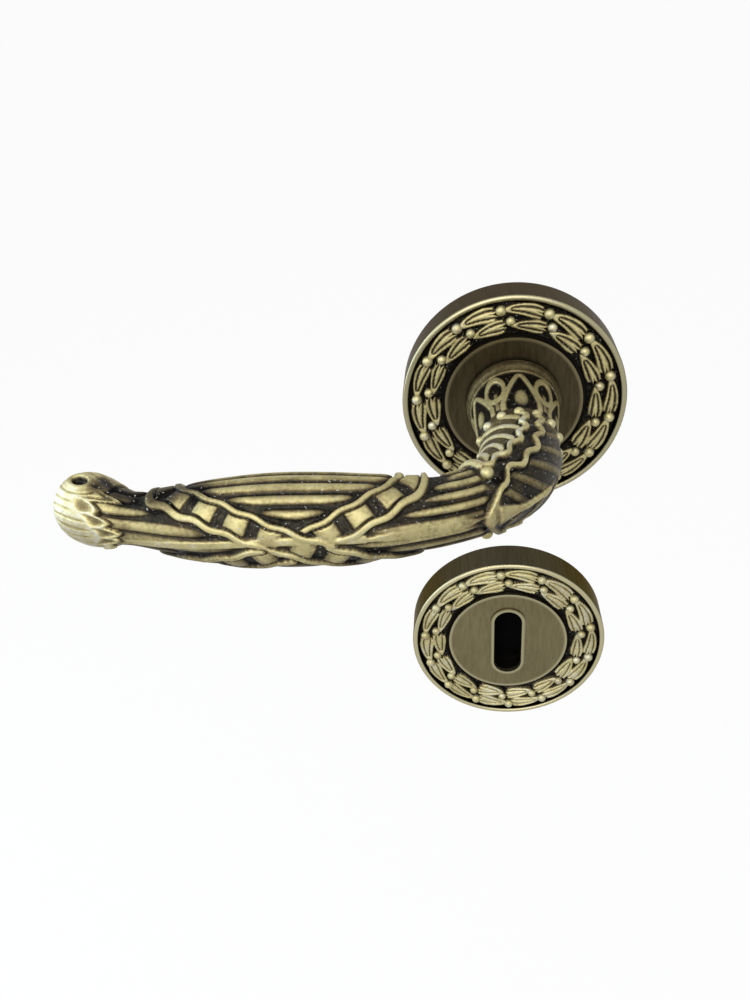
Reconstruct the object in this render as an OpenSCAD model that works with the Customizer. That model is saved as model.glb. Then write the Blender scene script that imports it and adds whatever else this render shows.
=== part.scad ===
// Ornamental door lever on a round rose, with a matching keyhole escutcheon.
// Every piece is drawn lying on the door: X along the lever, Y up the door, Z out of the door.
// on_door() then stands it up, so that the door face is the plane y = 0 and the user stands at -Y.

/* [Rose] */
// outer diameter of the rose and of the escutcheon
rose_d = 52; // [51:0.5:58]
// door face to the top of the rim
rose_t = 9.5; // [9:0.1:12]
// wall of the shell
shell_wall = 1.4; // [1:0.1:2]
// thickness of the shell's front plate
plate_t = 1.1; // [0.8:0.1:1.5]
// width of the rounded rim
rim_w = 1.5; // [1:0.1:2]
// diameter of the brushed centre disc
disc_d = 32; // [30:0.5:34]
// thickness of the centre disc
disc_t = 1; // [0.8:0.1:1.5]
// dark groove on each side of the wreath
groove_w = 0.6; // [0.3:0.1:1]

/* [Wreath] */
// groups of leaves and berries round the wreath
wreath_groups = 14; // [10:1:18]
// diameter of a berry
berry_d = 2.5; // [1.8:0.1:3]
// width of a laurel leaf
leaf_w = 3.7; // [3:0.1:4.5]
// length of a laurel leaf
leaf_l = 10.6; // [8:0.1:12]
// width of the groove along a leaf
vein_w = 0.5; // [0.3:0.05:0.8]
// depth of the groove along a leaf
vein_depth = 0.45; // [0.2:0.05:0.7]
// height of the wreath's crown over its bed
wreath_h = 1.6; // [1.2:0.1:2]
// how far the rose's wreath is turned
rose_turn = 18.4; // [0:0.1:26]
// how far the escutcheon's wreath is turned
lock_turn = 15.8; // [0:0.1:26]

/* [Lever] */
// spindle axis to the end of the scroll
lever_reach = 94; // [80:1:120]
// door face to the axis of the grip
lever_projection = 59.5; // [56:0.5:70]
// diameter of the flared collar on the disc
collar_d = 22; // [21:0.5:24]
// diameter of the neck
neck_d = 16.8; // [16:0.1:20]
// diameter of the elbow where the leaf ends
elbow_d = 13.6; // [12:0.1:16]
// greatest diameter of the reeded grip
grip_d = 18; // [15:0.1:22]
// diameter of the waist before the scroll
waist_d = 10.6; // [9:0.1:13]
// diameter of the scroll
scroll_d = 13.6; // [12:0.1:18]
// depth of the grooves between the reeds
reed_depth = 0.6; // [0.2:0.05:0.8]
// reeds round the thick part of the grip
grip_reeds = 19; // [12:1:24]
// reeds round the waist
waist_reeds = 12; // [8:1:16]
// width of the two crossing ribbons
ribbon_w = 5; // [3:0.1:7]
// height of the ribbons' edge cords
cord_h = 0.5; // [0.2:0.05:0.8]
// width of the edge cords
cord_w = 1.7; // [0.8:0.1:2]
// depth of the pits along the ribbons
pit_depth = 0.7; // [0.2:0.05:1]
// spacing of the pits along the ribbons
pit_pitch = 6.5; // [5:0.1:9]
// width of the keel along the grip's outer side
keel_w = 2.3; // [1.5:0.1:3]
// height of the leaves over the metal beside them
leaf_step = 0.7; // [0.3:0.05:1]
// width of the zigzag rib along a leaf's edge
rib_w = 1.6; // [1:0.1:2]
// spacing of the zigzags along a leaf's edge
zigzag_pitch = 4.9; // [4:0.1:8]
// height of the scroll's scalloped edge over the waist
scroll_step = 0.4; // [0.2:0.05:0.8]
// diameter of the beads round the neck
bead_d = 2.3; // [1.6:0.1:3]
// beads round the neck
bead_count = 14; // [10:1:18]
// diameter of the bead where the elbow's leaves part
junction_d = 2.6; // [1.6:0.1:3]

/* [Shank and spindle] */
// diameter of the lever's shank in the rose
shank_d = 16; // [15:0.1:17]
// width across the two flats of the shank
shank_flats = 14.4; // [13.5:0.1:15]
// square spindle, across flats
spindle_af = 8; // [7:0.5:9]
// length of the spindle inside the lever
spindle_in_lever = 36; // [30:1:38]
// length of the spindle behind the door face
spindle_behind = 60; // [45:1:80]
// diameter of the grub screw
grub_d = 6; // [5:0.5:6]
// distance of the grub screw from the door face
grub_out = 24.5; // [20:0.5:30]
// socket across flats in the grub screw
grub_socket = 3; // [2:0.5:3]

/* [Mechanism] */
// thickness of the rose's base plate
base_t = 2.8; // [2.4:0.1:3.4]
// depth of the recess for the circlip
recess_depth = 1.7; // [1.5:0.1:2]
// thickness of the thrust washer
washer_t = 0.5; // [0.3:0.1:0.6]
// thickness of the circlip
circlip_t = 0.9; // [0.8:0.1:1]
// wall of the spring pocket
pocket_wall = 1.5; // [1:0.1:2]
// wire diameter of the return spring
wire_d = 1.1; // [0.8:0.1:1.2]
// mean diameter of the return spring
coil_d = 22.4; // [22:0.1:23]
// thickness of the driver's flange
driver_t = 0.7; // [0.6:0.1:1]
// how far the lever turns down
lever_travel = 40; // [20:1:42]
// thickness of the spring cover
cover_t = 0.6; // [0.5:0.1:0.8]
// diameter of the spring cover's screws
cover_screw_d = 2.5; // [2:0.5:3]
// flange thickness of the nylon bush
bush_flange = 0.7; // [0.5:0.1:1]
// wall of the nylon bush
bush_wall = 1.05; // [0.8:0.05:1.2]

/* [Fixings] */
// spacing of the two fixings of the rose and of the escutcheon
fixing_spacing = 38; // [38:0.5:38]
// diameter of the through bolts
bolt_d = 4; // [3:0.5:5]
// length of the through bolts behind the door face
bolt_behind = 45; // [30:1:60]
// diameter of the wood screws
screw_d = 3.5; // [3:0.5:4]
// length of the wood screws behind the door face
screw_behind = 16; // [12:1:25]
// diameter of the plain neck under a through bolt's head
bolt_neck_d = 4.8; // [4.6:0.1:6]
// diameter of the plain neck under a wood screw's head
screw_neck_d = 4.3; // [4.2:0.1:5]

/* [Escutcheon] */
// spindle axis to keyhole centre
lock_distance = 72; // [62:1:92]
// width of the key slot
key_w = 7.5; // [6:0.1:9]
// height of the key slot
key_h = 21; // [18:0.5:24]
// width of the rounded lip round the key slot
lip_w = 1; // [0.6:0.1:1.5]

/* [Fits] */
// running clearance on a radius
run = 0.05; // [0.03:0.01:0.1]
// assembly clearance on a radius
loose = 0.15; // [0.1:0.01:0.3]
// gap between faces that move past each other
face_gap = 0.1; // [0.05:0.01:0.3]

/* [Hidden] */
$fn = 96;

rose_r = rose_d / 2;
bed_z = rose_t - 1.5;
inner_r = rose_r - shell_wall;
plate_z = bed_z - plate_t;
disc_r = disc_d / 2;
wreath_in = disc_r + groove_w + 0.2;
wreath_out = rose_r - rim_w - groove_w / 2;
wreath_r = (wreath_in + wreath_out) / 2;
shank_r = shank_d / 2;
bore_r = shank_r + run;
bush_r = bore_r + bush_wall;
disc_top = bed_z + disc_t;
collar_z = disc_top + bush_flange + 2 * face_gap;
cover_z = plate_z - 2 * face_gap - cover_t;
driver_z = cover_z - face_gap - driver_t;
washer_r = shank_r + 2.2;
recess_r = washer_r + 1;
pocket_r = coil_d / 2 + 1.7;
cover_hole_r = shank_r + 0.3;
cover_screw_r = pocket_r + pocket_wall / 2 + 1.5;
clip_groove_r = shank_flats / 2 + 0.1;

// the spring's two legs and the driver's lug, as angles round the spindle
leg_fixed = -30;
lug_half = 4;
lug_angle = 25;
leg_moving = lug_angle + lug_half + 3;
coil_z = base_t + wire_d / 2 + 0.05;
coil_pitch = wire_d + 0.05;

// which piece to draw

module on_door() rotate([90, 0, 0]) children();
module at_lock() translate([0, -lock_distance, 0]) children();
module at_fixings() {
  for (side = [-1, 1]) {
    translate([side * fixing_spacing / 2, 0, 0]) children();
  }
}

module tube(outer, inner, low, high) {
  difference() {
    translate([0, 0, low]) cylinder(r = outer, h = high - low);
    translate([0, 0, low - 1]) cylinder(r = inner, h = high - low + 2);
  }
}

module square_bar(across, low, high) {
  translate([-across / 2, -across / 2, low]) cube([across, across, high - low]);
}

// a round bar with two flats
module flatted(radius, flats, low, high) {
  intersection() {
    translate([0, 0, low]) cylinder(r = radius, h = high - low);
    translate([-flats / 2, -radius, low]) cube([flats, 2 * radius, high - low]);
  }
}

// a slot with round ends, standing upright
module slot(width, height, low, high) {
  reach = (height - width) / 2;
  for (side = [-1, 1]) {
    translate([0, side * reach, low]) cylinder(d = width, h = high - low);
  }
  translate([-width / 2, -reach, low]) cube([width, 2 * reach, high - low]);
}

// ---------------------------------------------------------------- rose and escutcheon shells

// side wall, rounded rim and front plate with its round opening
module shell(opening_r) {
  shoulder = rim_w / 2;
  rotate_extrude() {
    difference() {
      union() {
        translate([inner_r, 0]) square([shell_wall, rose_t - shoulder]);
        translate([opening_r, plate_z]) square([rose_r - shoulder - opening_r, plate_t]);
        translate([rose_r - rim_w, plate_z]) square([shoulder, rose_t - shoulder - plate_z]);
      }
      translate([rose_r - 0.4, -1]) square([1, 1.4]);
    }
    translate([rose_r - shoulder, rose_t - shoulder]) circle(r = shoulder);
  }
}

// ---------------------------------------------------------------- laurel wreath

// a pointed leaf, as the overlap of two discs
module leaf_blank(length, width, high) {
  arc = (length * length / 4 + width * width / 4) / width;
  intersection() {
    translate([0, arc - width / 2, 0]) cylinder(r = arc, h = high);
    translate([0, width / 2 - arc, 0]) cylinder(r = arc, h = high);
  }
}

// the crown that the leaves are cut back to
module wreath_crown(rise) {
  width = wreath_out - wreath_in;
  edge = rise - 0.7;
  arc = (width * width / 4 + (rise - edge) * (rise - edge)) / (2 * (rise - edge));
  rotate_extrude() {
    intersection() {
      translate([wreath_in, 0]) square([width, rise + 1]);
      translate([wreath_r, rise - arc]) circle(r = arc);
    }
  }
}

// places a leaf in its row, tip leading anticlockwise
module in_row(group, radius, lean) {
  rotate([0, 0, group * 360 / wreath_groups]) {
    translate([radius, 0, 0]) rotate([0, 0, 90 + lean]) children();
  }
}

module wreath() {
  outer_row = wreath_r + leaf_w / 2 + 0.05;
  inner_row = wreath_r - leaf_w / 2 - 0.05;
  translate([0, 0, bed_z]) {
    difference() {
      union() {
        wreath_crown(wreath_h - 0.7);
        intersection() {
          wreath_crown(wreath_h);
          for (group = [0 : wreath_groups - 1]) {
            in_row(group + 0.45, outer_row, 3) leaf_blank(leaf_l, leaf_w, 3);
            in_row(group + 0.55, inner_row, -7) leaf_blank(leaf_l * 0.86, leaf_w, 3);
          }
        }
      }
      translate([0, 0, wreath_h - vein_depth - 0.25]) {
        for (group = [0 : wreath_groups - 1]) {
          in_row(group + 0.45, outer_row + 0.5, 5) leaf_blank(leaf_l * 0.7, vein_w, 3);
          in_row(group + 0.45, outer_row - 0.8, 1) leaf_blank(leaf_l * 0.6, vein_w, 3);
          in_row(group + 0.55, inner_row, -8) leaf_blank(leaf_l * 0.6, vein_w, 3);
        }
      }
    }
    intersection() {
      cylinder(r = wreath_out, h = wreath_h + berry_d);
      for (group = [0 : wreath_groups - 1]) {
        rotate([0, 0, (group + 0.02) * 360 / wreath_groups]) {
          translate([wreath_r + 2, 0, wreath_h - 0.75]) sphere(d = berry_d);
        }
        rotate([0, 0, (group - 0.16) * 360 / wreath_groups]) {
          translate([wreath_r - 1.4, 0, wreath_h - 0.65]) sphere(d = berry_d);
        }
      }
    }
  }
}

// ---------------------------------------------------------------- lever, swept along its path

// stations along the lever: reach and projection as shares, then the radii in the bend's plane and upright
lever_stations = [
  [0, 0, collar_d / 2 - 1.4, collar_d / 2 - 1.4],
  [0, 0.055, collar_d / 2 - 1.1, collar_d / 2 - 1.1],
  [0, 0.15, neck_d / 2 + 0.9, neck_d / 2 + 0.9],
  [0, 0.29, neck_d / 2 + 0.2, neck_d / 2 + 0.2],
  [0, 0.43, neck_d / 2 - 0.1, neck_d / 2 - 0.1],
  [0.003, 0.565, neck_d / 2 - 0.05, neck_d / 2],
  [0.024, 0.7, neck_d / 2 - 0.7, neck_d / 2 - 0.3],
  [0.066, 0.81, elbow_d / 2 + 0.2, elbow_d / 2 + 0.5],
  [0.124, 0.9, elbow_d / 2 - 0.2, elbow_d / 2 + 0.1],
  [0.2, 0.955, elbow_d / 2 + 0.2, elbow_d / 2 + 0.4],
  [0.3, 0.987, grip_d / 2 - 1, grip_d / 2 - 0.8],
  [0.405, 1, grip_d / 2 - 0.15, grip_d / 2 - 0.05],
  [0.512, 1.006, grip_d / 2 - 0.1, grip_d / 2 + 0.1],
  [0.618, 1.01, grip_d / 2 - 1.05, grip_d / 2 - 0.7],
  [0.714, 1.006, waist_d / 2 + 1.1, waist_d / 2 + 1.5],
  [0.798, 0.99, waist_d / 2 - 0.2, waist_d / 2 + 0.15],
  [0.846, 0.965, waist_d / 2 + 0.3, waist_d / 2 + 0.6],
  [0.889, 0.932, scroll_d / 2 - 0.4, scroll_d / 2],
  [0.928, 0.885, scroll_d / 2 - 0.5, scroll_d / 2],
  [0.952, 0.845, scroll_d / 2 - 1.9, scroll_d / 2 - 1.3],
  [0.966, 0.82, scroll_d / 2 - 4.6, scroll_d / 2 - 4.2]
];
path_steps = 400;
lever_rings = 108;
lever_sides = 3 * grip_reeds;

// a smooth curve through the stations
function station(i) = lever_stations[max(0, min(len(lever_stations) - 1, i))];
function blend(a, b, c, d, u) =
  0.5 * (2 * b + (c - a) * u + (2 * a - 5 * b + 4 * c - d) * u * u
  + (3 * b - a - 3 * c + d) * u * u * u);
function spline(q) =
  let (i = min(len(lever_stations) - 2, floor(q)))
  blend(station(i - 1), station(i), station(i + 1), station(i + 2), q - i);

root_z = collar_z + 1.4;
function path_at(row) = [-row[0] * lever_reach, root_z + row[1] * (lever_projection - root_z)];

// distance along the lever from its root, against the place between the stations
function step_row(k) = k * (len(lever_stations) - 1) / path_steps;
function step_length(k) = norm(path_at(spline(step_row(k + 1))) - path_at(spline(step_row(k))));
run_table = [
  for (k = 0, gone = 0; k <= path_steps; gone = gone + (k < path_steps ? step_length(k) : 0), k = k + 1)
  [gone, step_row(k)]
];
lever_run = run_table[path_steps][0];

// rings of the sweep, evenly spaced along the lever
ring_run = [for (k = [0 : lever_rings]) k * lever_run / lever_rings];
ring_rows = [for (s = ring_run) spline(lookup(s, run_table))];
ring_at = [for (row = ring_rows) path_at(row)];
ring_heading = [
  for (k = [0 : lever_rings])
  let (step = ring_at[min(lever_rings, k + 1)] - ring_at[max(0, k - 1)])
  step / norm(step)
];

// where the ornament begins and ends along the lever
palmette_from = 0.031 * lever_run;
palmette_to = 0.138 * lever_run;
bead_row = 0.156 * lever_run;
leaf_tip = 0.366 * lever_run;
inner_tip = 0.35 * lever_run;
crossing = 0.608 * lever_run;
ribbon_out = 0.206 * lever_run;
ribbon_in = 0.163 * lever_run;
scroll_leaf = 0.873 * lever_run;
scroll_sweep = 0.025 * lever_run;
eye_run = 0.951 * lever_run;
eye_pitch = 0.012 * lever_run;
leaf_point = 0.05 * lever_run;
inner_point = 0.014 * lever_run;
reed_end = 0.0185 * lever_run;

// depths under the swept surface
keel_sink = 0.85;
leaf_sink = 0.2;
palmette_sink = 0.22;
palmette_h = 0.55;
dimple_depth = 0.4;
turn_depth = 0.2;
eye_depth = 1.2;
zigzag_h = 0.6;
cord_wave = 0.2;

// how it is turned round the lever: 0 is the bend's outer side, 90 is up, 180 faces the door
ribbon_turn = -5;
ribbon_curl = 0.8;
reed_turn = -1;
waist_turn = -13;
leaf_turn = -3;
leaf_half = 58;
leaf_flare = 7;
inner_half = 106;
palmette_half = 27;
palmette_turn = 86;
palmettes = 5;
scroll_turn = -4.5;
scroll_lobes = 16;
eye_turn = 80;
junction_turn = 72;

function ramp(x) = let (c = max(0, min(1, x))) c * c * (3 - 2 * c);
function fold(value, period) = value - period * floor(value / period + 0.5);
function ridge(distance, half) = abs(distance) < half ? 0.5 + 0.5 * cos(180 * distance / half) : 0;
function dome(distance, half) = sqrt(max(0, 1 - distance * distance / (half * half)));
function cord(distance, half) = ramp((half - abs(distance)) / (0.7 * half));
function arc(angle, radius) = angle * radius * PI / 180;

// distance off a ribbon's middle line, and distance along it from the crossing
function ribbon(s, t, radius, hand) =
  let (
    tau = fold(t - ribbon_turn, 360),
    reach = hand * tau > 0 ? ribbon_out : ribbon_in,
    mid = reach * sin(ribbon_curl * tau),
    slope = ribbon_curl * reach * cos(ribbon_curl * tau) / radius,
    off = (s - crossing - hand * mid) / norm([1, slope])
  )
  [off, sign(tau) * norm([arc(tau, 0.47 * grip_d), mid]) + hand * off * slope];

// two wavy cords with pillows between them, and a deep pit after each pillow
function ribbon_relief(off, along) =
  let (
    half = ribbon_w / 2,
    place = fold(along - 0.4 * pit_pitch, pit_pitch),
    wave = cord_wave * cos(360 * (place - 0.7) / pit_pitch),
    edge = cord(abs(off) - half - wave, cord_w / 2 + 0.1),
    inside = ramp((half + wave - cord_w / 2 - abs(off) + 0.2) / 0.5),
    pit = 1 - ramp((abs(place) - 0.7) / 0.75)
  )
  cord_h * edge + (1 - edge) * inside * (0.5 * cord_h - pit * (pit_depth + 0.5 * cord_h));

// reeds with rounded ends, closed off where a ribbon or a leaf crosses them
function reeds(t, gap, waist) =
  let (
    count = waist ? waist_reeds : grip_reeds,
    across = fold(t - (waist ? waist_turn : reed_turn), 360 / count) * count / 180,
    end = max(0, 1 - gap / reed_end)
  )
  reed_depth * (1.2 * sqrt(max(0, 1 - across * across - end * end)) - 1);

function keel_turn(s) =
  let (share = (s - crossing) / lever_run)
  4.5 + (share > 0 ? -410 * share * share : 39 * share);

function grip_relief(s, t, radius, leaf_gap) =
  let (
    a = ribbon(s, t, radius, 1),
    b = ribbon(s, t, radius, -1),
    edge = ribbon_w / 2 + cord_w / 2,
    top = abs(a[0]) < edge + 0.2 ? a : b,
    gap = min(abs(a[0]) - edge, abs(b[0]) - edge, leaf_gap),
    cover = 1 - ramp((abs(top[0]) - edge) / 0.5),
    keel_off = arc(fold(t - keel_turn(s), 360), radius),
    keel = leaf_gap > 0.3 ? 1.15 * dome(keel_off, keel_w / 2 + 0.2) : 0
  )
  max((1 - cover) * reeds(t, gap, a[0] > 0) + cover * ribbon_relief(top[0], top[1]), keel - keel_sink);

// distances inside the outer and the inner leaf's zigzag edge
function zigzag(s) = zigzag_h * sin(360 * s / zigzag_pitch + 34) * ramp((inner_tip - s) / 3);
function outer_inside(s, t, radius) =
  let (
    widest = leaf_half + leaf_flare * ramp((0.277 * lever_run - s) / 8),
    half = widest * pow(max(0, min(1, (leaf_tip - s) / leaf_point)), 0.55)
  )
  min(arc(half - abs(fold(t - leaf_turn, 360)), radius), 0.85 * (leaf_tip - s)) + zigzag(s);
function inner_inside(s, t, radius) =
  let (half = inner_half * sqrt(max(0, min(1, (inner_tip - s) / inner_point))))
  min(arc(half - abs(fold(t - 180, 360)), radius), 0.8 * (inner_tip - s)) - zigzag(s);

// a thick rib along the leaf's edge and soft lobes behind it
function leaf_relief(s, inside, sweep, keel) =
  let (
    lobe = 0.15 * cos(360 * (s - sweep) / zigzag_pitch),
    behind = ramp((inside - rib_w) / 0.6)
  )
  max(1.2 * cord(inside - rib_w / 2, rib_w / 2 + 0.1), behind * (0.8 + lobe + keel)) * leaf_step - leaf_sink;

function elbow_relief(s, t, radius, outer, inner) =
  let (
    side = arc(abs(fold(t - leaf_turn, 360)), radius),
    back = arc(180 - abs(fold(t - leaf_turn, 360)), radius),
    keel_half = 1 + 0.9 * ramp((s - 0.31 * lever_run) / 5),
    keel = 0.6 * dome(side, keel_half) * ramp((s - 0.24 * lever_run) / 6)
  )
  max(
    leaf_relief(s, outer, 0.9 * side, keel),
    leaf_relief(s, inner, 0.7 * back, 0)
  );

// open leaves round the root of the neck, with an arch between each pair
function palmette_relief(s, t, radius) =
  let (
    pitch = 360 / palmettes,
    length = palmette_to - palmette_from,
    share = (s - palmette_from) / length,
    leaf = arc(fold(t - palmette_turn, pitch), radius),
    arch = arc(fold(t - palmette_turn - pitch / 2, pitch), radius),
    spread = arc(palmette_half, radius) * pow(max(0, min(1, 1.25 * share)), 0.75),
    lines = cord(abs(leaf) - spread, 0.95) * ramp((share + 0.06) / 0.08),
    bud = sqrt(max(0, 1 - pow((share - 0.69) * 3.8, 2) - pow(leaf / 1.7, 2))),
    loop = cord((norm([arch / 2.2, (share - 0.33) * 3.2]) - 1) * 2.3, 0.9),
    stalk = cord(arch, 0.8) * ramp((share - 0.3) * 4),
    ends = ramp((share + 0.1) * 10) * ramp((1.05 - share) * 10)
  )
  ends * (palmette_h * max(lines, 0.9 * bud, loop, 0.8 * stalk) - palmette_sink);

// distance past the scroll's scalloped edge
function scroll_inside(s, t) =
  let (
    calm = ramp((90 - abs(t)) / 15),
    lobe = abs(cos((t - scroll_turn) * scroll_lobes / 2))
  )
  s - scroll_leaf - scroll_sweep * ramp(abs(t + 8) / 60) - 1.5 * calm * (1 - lobe);

// the scroll: a dimple in each lobe of its edge, then turns round its eye
function scroll_relief(s, t, radius, inside) =
  let (
    calm = ramp((90 - abs(t)) / 15),
    across = arc(fold(t - scroll_turn, 360 / scroll_lobes), radius),
    dimple = sqrt(max(0, 1 - pow((inside - 2.3) / 1.75, 2) - pow(across / 1.1, 2))),
    eye = norm([s - eye_run, arc(abs(t) - eye_turn, radius)]),
    around = ramp((inside - 3.8) / 1.5) * ramp((eye - 2.2) / 0.4),
    turns = around * ridge(fold(eye - 2 * eye_pitch, eye_pitch), 0.5),
    hole = 1 - ramp((eye - 0.7) / 0.9)
  )
  scroll_step * ramp(inside / 0.5) - dimple_depth * calm * dimple - turn_depth * turns - eye_depth * hole;

function relief(s, t, radius) =
  let (
    outer = outer_inside(s, t, radius),
    inner = inner_inside(s, t, radius),
    leaf = max(outer, inner),
    curl = scroll_inside(s, t),
    strip = leaf > 0 ? 1 : ramp((inner_tip + 1 - s) / 1.2),
    start = ramp((s - bead_row) / 1.2),
    gap = s < leaf_tip + 6 ? -leaf : 9
  )
  curl > 0 && s > crossing
    ? ramp((lever_run + 0.4 - s) / 2.5) * scroll_relief(s, t, radius, curl)
    : (1 - start) * palmette_relief(s, t, radius)
      + start * strip * elbow_relief(s, t, radius, outer, inner)
      + start * (1 - strip) * grip_relief(s, t, radius, gap);

// height of the relief at each point of each ring
side_turn = [for (j = [0 : lever_sides - 1]) fold(reed_turn + (j + 0.5) * 360 / lever_sides, 360)];
ring_lift = [
  for (k = [0 : lever_rings])
  [for (t = side_turn) relief(ring_run[k], t, (ring_rows[k][2] + ring_rows[k][3]) / 2)]
];

function ring(k) =
  let (
    row = ring_rows[k],
    at = ring_at[k],
    head = ring_heading[k]
  )
  [
    for (j = [0 : lever_sides - 1])
    let (
      across = (row[2] + ring_lift[k][j]) * cos(side_turn[j]),
      up = (row[3] + ring_lift[k][j]) * sin(side_turn[j])
    )
    [at[0] + head[1] * across, up, at[1] - head[0] * across]
  ];

// two triangles, split along the diagonal that runs more level over the relief
function patch(k, j) =
  let (
    n = (j + 1) % lever_sides,
    a = k * lever_sides + j,
    b = k * lever_sides + n,
    c = a + lever_sides,
    d = b + lever_sides,
    forward = abs(ring_lift[k][j] - ring_lift[k + 1][n]),
    backward = abs(ring_lift[k][n] - ring_lift[k + 1][j])
  )
  forward < backward ? [[a, d, b], [a, c, d]] : [[a, c, b], [b, c, d]];

module lever_body() {
  last = lever_rings * lever_sides;
  points = [for (k = [0 : lever_rings]) each ring(k)];
  root = [0, 0, ring_at[0][1]];
  tip_at = ring_at[lever_rings] + ring_heading[lever_rings] * 1.2;
  tip = [tip_at[0], 0, tip_at[1]];
  walls = [for (k = [0 : lever_rings - 1], j = [0 : lever_sides - 1]) each patch(k, j)];
  root_fan = [
    for (j = [0 : lever_sides - 1])
    [len(points), j, (j + 1) % lever_sides]
  ];
  tip_fan = [
    for (j = [0 : lever_sides - 1])
    [len(points) + 1, last + (j + 1) % lever_sides, last + j]
  ];
  polyhedron(points = concat(points, [root, tip]), faces = concat(walls, root_fan, tip_fan), convexity = 8);
}

// flared collar that stands on the disc
module collar() {
  r = collar_d / 2;
  rotate_extrude() {
    difference() {
      translate([0, collar_z]) square([r, 4]);
      translate([r + 3.4, collar_z + 4.4]) circle(r = 4.3);
    }
  }
}

module bead_ring() {
  k = search_ring(bead_row);
  row = ring_rows[k];
  for (i = [0 : bead_count - 1]) {
    rotate([0, 0, 15 + i * 360 / bead_count]) {
      translate([row[2] + 0.1, 0, ring_at[k][1]]) sphere(d = bead_d);
    }
  }
}
function search_ring(s) = max([for (k = [0 : lever_rings]) ring_run[k] < s ? k : 0]);

// the two beads where the elbow's leaves part
module junction_beads() {
  k = search_ring(inner_tip - 1);
  row = ring_rows[k];
  head = ring_heading[k];
  across = row[2] * cos(junction_turn);
  up = row[3] * sin(junction_turn);
  at = [ring_at[k][0] + head[1] * across, 0, ring_at[k][1] - head[0] * across];
  for (side = [-1, 1]) translate(at + [0, side * up, 0]) sphere(d = junction_d);
}

// ---------------------------------------------------------------- the pieces

module rose_shell() {
  color("#5d5442") on_door() shell(bush_r + run);
}

module rose_wreath() {
  color("#b9ac6c") on_door() rotate([0, 0, rose_turn]) wreath();
}

module rose_disc() {
  color("#4f4228") on_door() tube(disc_r, bush_r + run, bed_z, disc_top);
}

module rose_base() {
  color("#9a9c9e") on_door() difference() {
    union() {
      translate([0, 0, 0]) cylinder(r = inner_r - run, h = base_t);
      tube(pocket_r + pocket_wall, pocket_r, base_t - 0.5, cover_z);
      for (side = [-1, 1]) {
        translate([0, side * cover_screw_r, 0]) cylinder(r = cover_screw_d / 2 + 1.2, h = cover_z);
      }
    }
    translate([0, 0, -1]) cylinder(r = bore_r, h = rose_t);
    translate([0, 0, -1]) cylinder(r = recess_r, h = recess_depth + 1);
    translate([0, 0, base_t]) cylinder(r = pocket_r, h = rose_t);
    at_fixings() translate([0, 0, -1]) cylinder(r = bolt_neck_d / 2 + loose, h = rose_t);
    for (side = [-1, 1]) {
      translate([0, side * cover_screw_r, 0.6]) cylinder(r = cover_screw_d / 2 + run, h = rose_t);
    }
    // window for the driver's lug, its ends are the lever's stops
    translate([0, 0, base_t]) {
      rotate_extrude(angle = lever_travel + 2 * lug_half + 2, start = lug_angle - lug_half - 1) {
        translate([pocket_r - 1, 0]) square([pocket_wall + 2, rose_t]);
      }
    }
    // notch for the spring's fixed leg
    rotate([0, 0, leg_fixed]) {
      translate([pocket_r - 1, -wire_d / 2 - loose, base_t]) {
        cube([pocket_wall + 2, wire_d + 2 * loose, rose_t]);
      }
    }
  }
}

module neck_bush() {
  color("#d9d6c8") on_door() {
    tube(bush_r, bore_r, plate_z, disc_top);
    tube(collar_d / 2 - 0.8, bore_r, disc_top, disc_top + bush_flange);
  }
}

// wire path: leg, bend, coil, bend, leg
bend_r = 1.2;
bend_angle = asin(bend_r / (coil_d / 2));
coil_turn = 360 + leg_moving - leg_fixed;
function polar(r, a, z) = [r * cos(a), r * sin(a), z];
function corner(angle, z, side) = [
  for (q = [0 : 22.5 : 90])
  let (
    out = [cos(angle), sin(angle)],
    along = side * [-sin(angle), cos(angle)],
    at = coil_d / 2 * out + bend_r * (out + along) - bend_r * (cos(q) * along + sin(q) * out)
  )
  [at[0], at[1], z]
];
function turned(list) = [for (i = [len(list) - 1 : -1 : 0]) list[i]];
spring_path = concat(
  [polar(pocket_r + pocket_wall, leg_fixed, coil_z)],
  corner(leg_fixed, coil_z, 1),
  [
    for (a = [bend_angle + 8 : 10 : coil_turn - bend_angle - 4])
    polar(coil_d / 2, leg_fixed + a, coil_z + coil_pitch * a / 360)
  ],
  turned(corner(leg_moving, coil_z + coil_pitch * coil_turn / 360, -1)),
  [polar(pocket_r + pocket_wall * 0.6, leg_moving, coil_z + coil_pitch * coil_turn / 360)]
);

module wire(path, diameter) {
  sides = 8;
  top = len(path) - 1;
  points = [
    for (i = [0 : top])
    let (
      step = path[min(top, i + 1)] - path[max(0, i - 1)],
      side = [-step[1], step[0], 0] / norm([step[0], step[1]])
    )
    for (j = [0 : sides - 1])
    path[i] + diameter / 2 * (cos(j * 45) * side + sin(j * 45) * [0, 0, 1])
  ];
  walls = [
    for (i = [0 : top - 1], j = [0 : sides - 1])
    let (n = (j + 1) % sides, a = i * sides + j, b = i * sides + n)
    each [[a, b + sides, b], [a, a + sides, b + sides]]
  ];
  start = [for (j = [0 : sides - 1]) j];
  finish = [for (j = [sides - 1 : -1 : 0]) top * sides + j];
  polyhedron(points = points, faces = concat(walls, [start, finish]), convexity = 6);
}

module return_spring() {
  color("#6f7276") on_door() wire(spring_path, wire_d);
}

// countersunk hole or screw head through the spring cover
module countersink(extra) {
  low = cover_screw_d / 2 + extra;
  translate([0, 0, cover_z]) cylinder(r1 = low, r2 = low + 0.85, h = cover_t);
}

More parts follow.
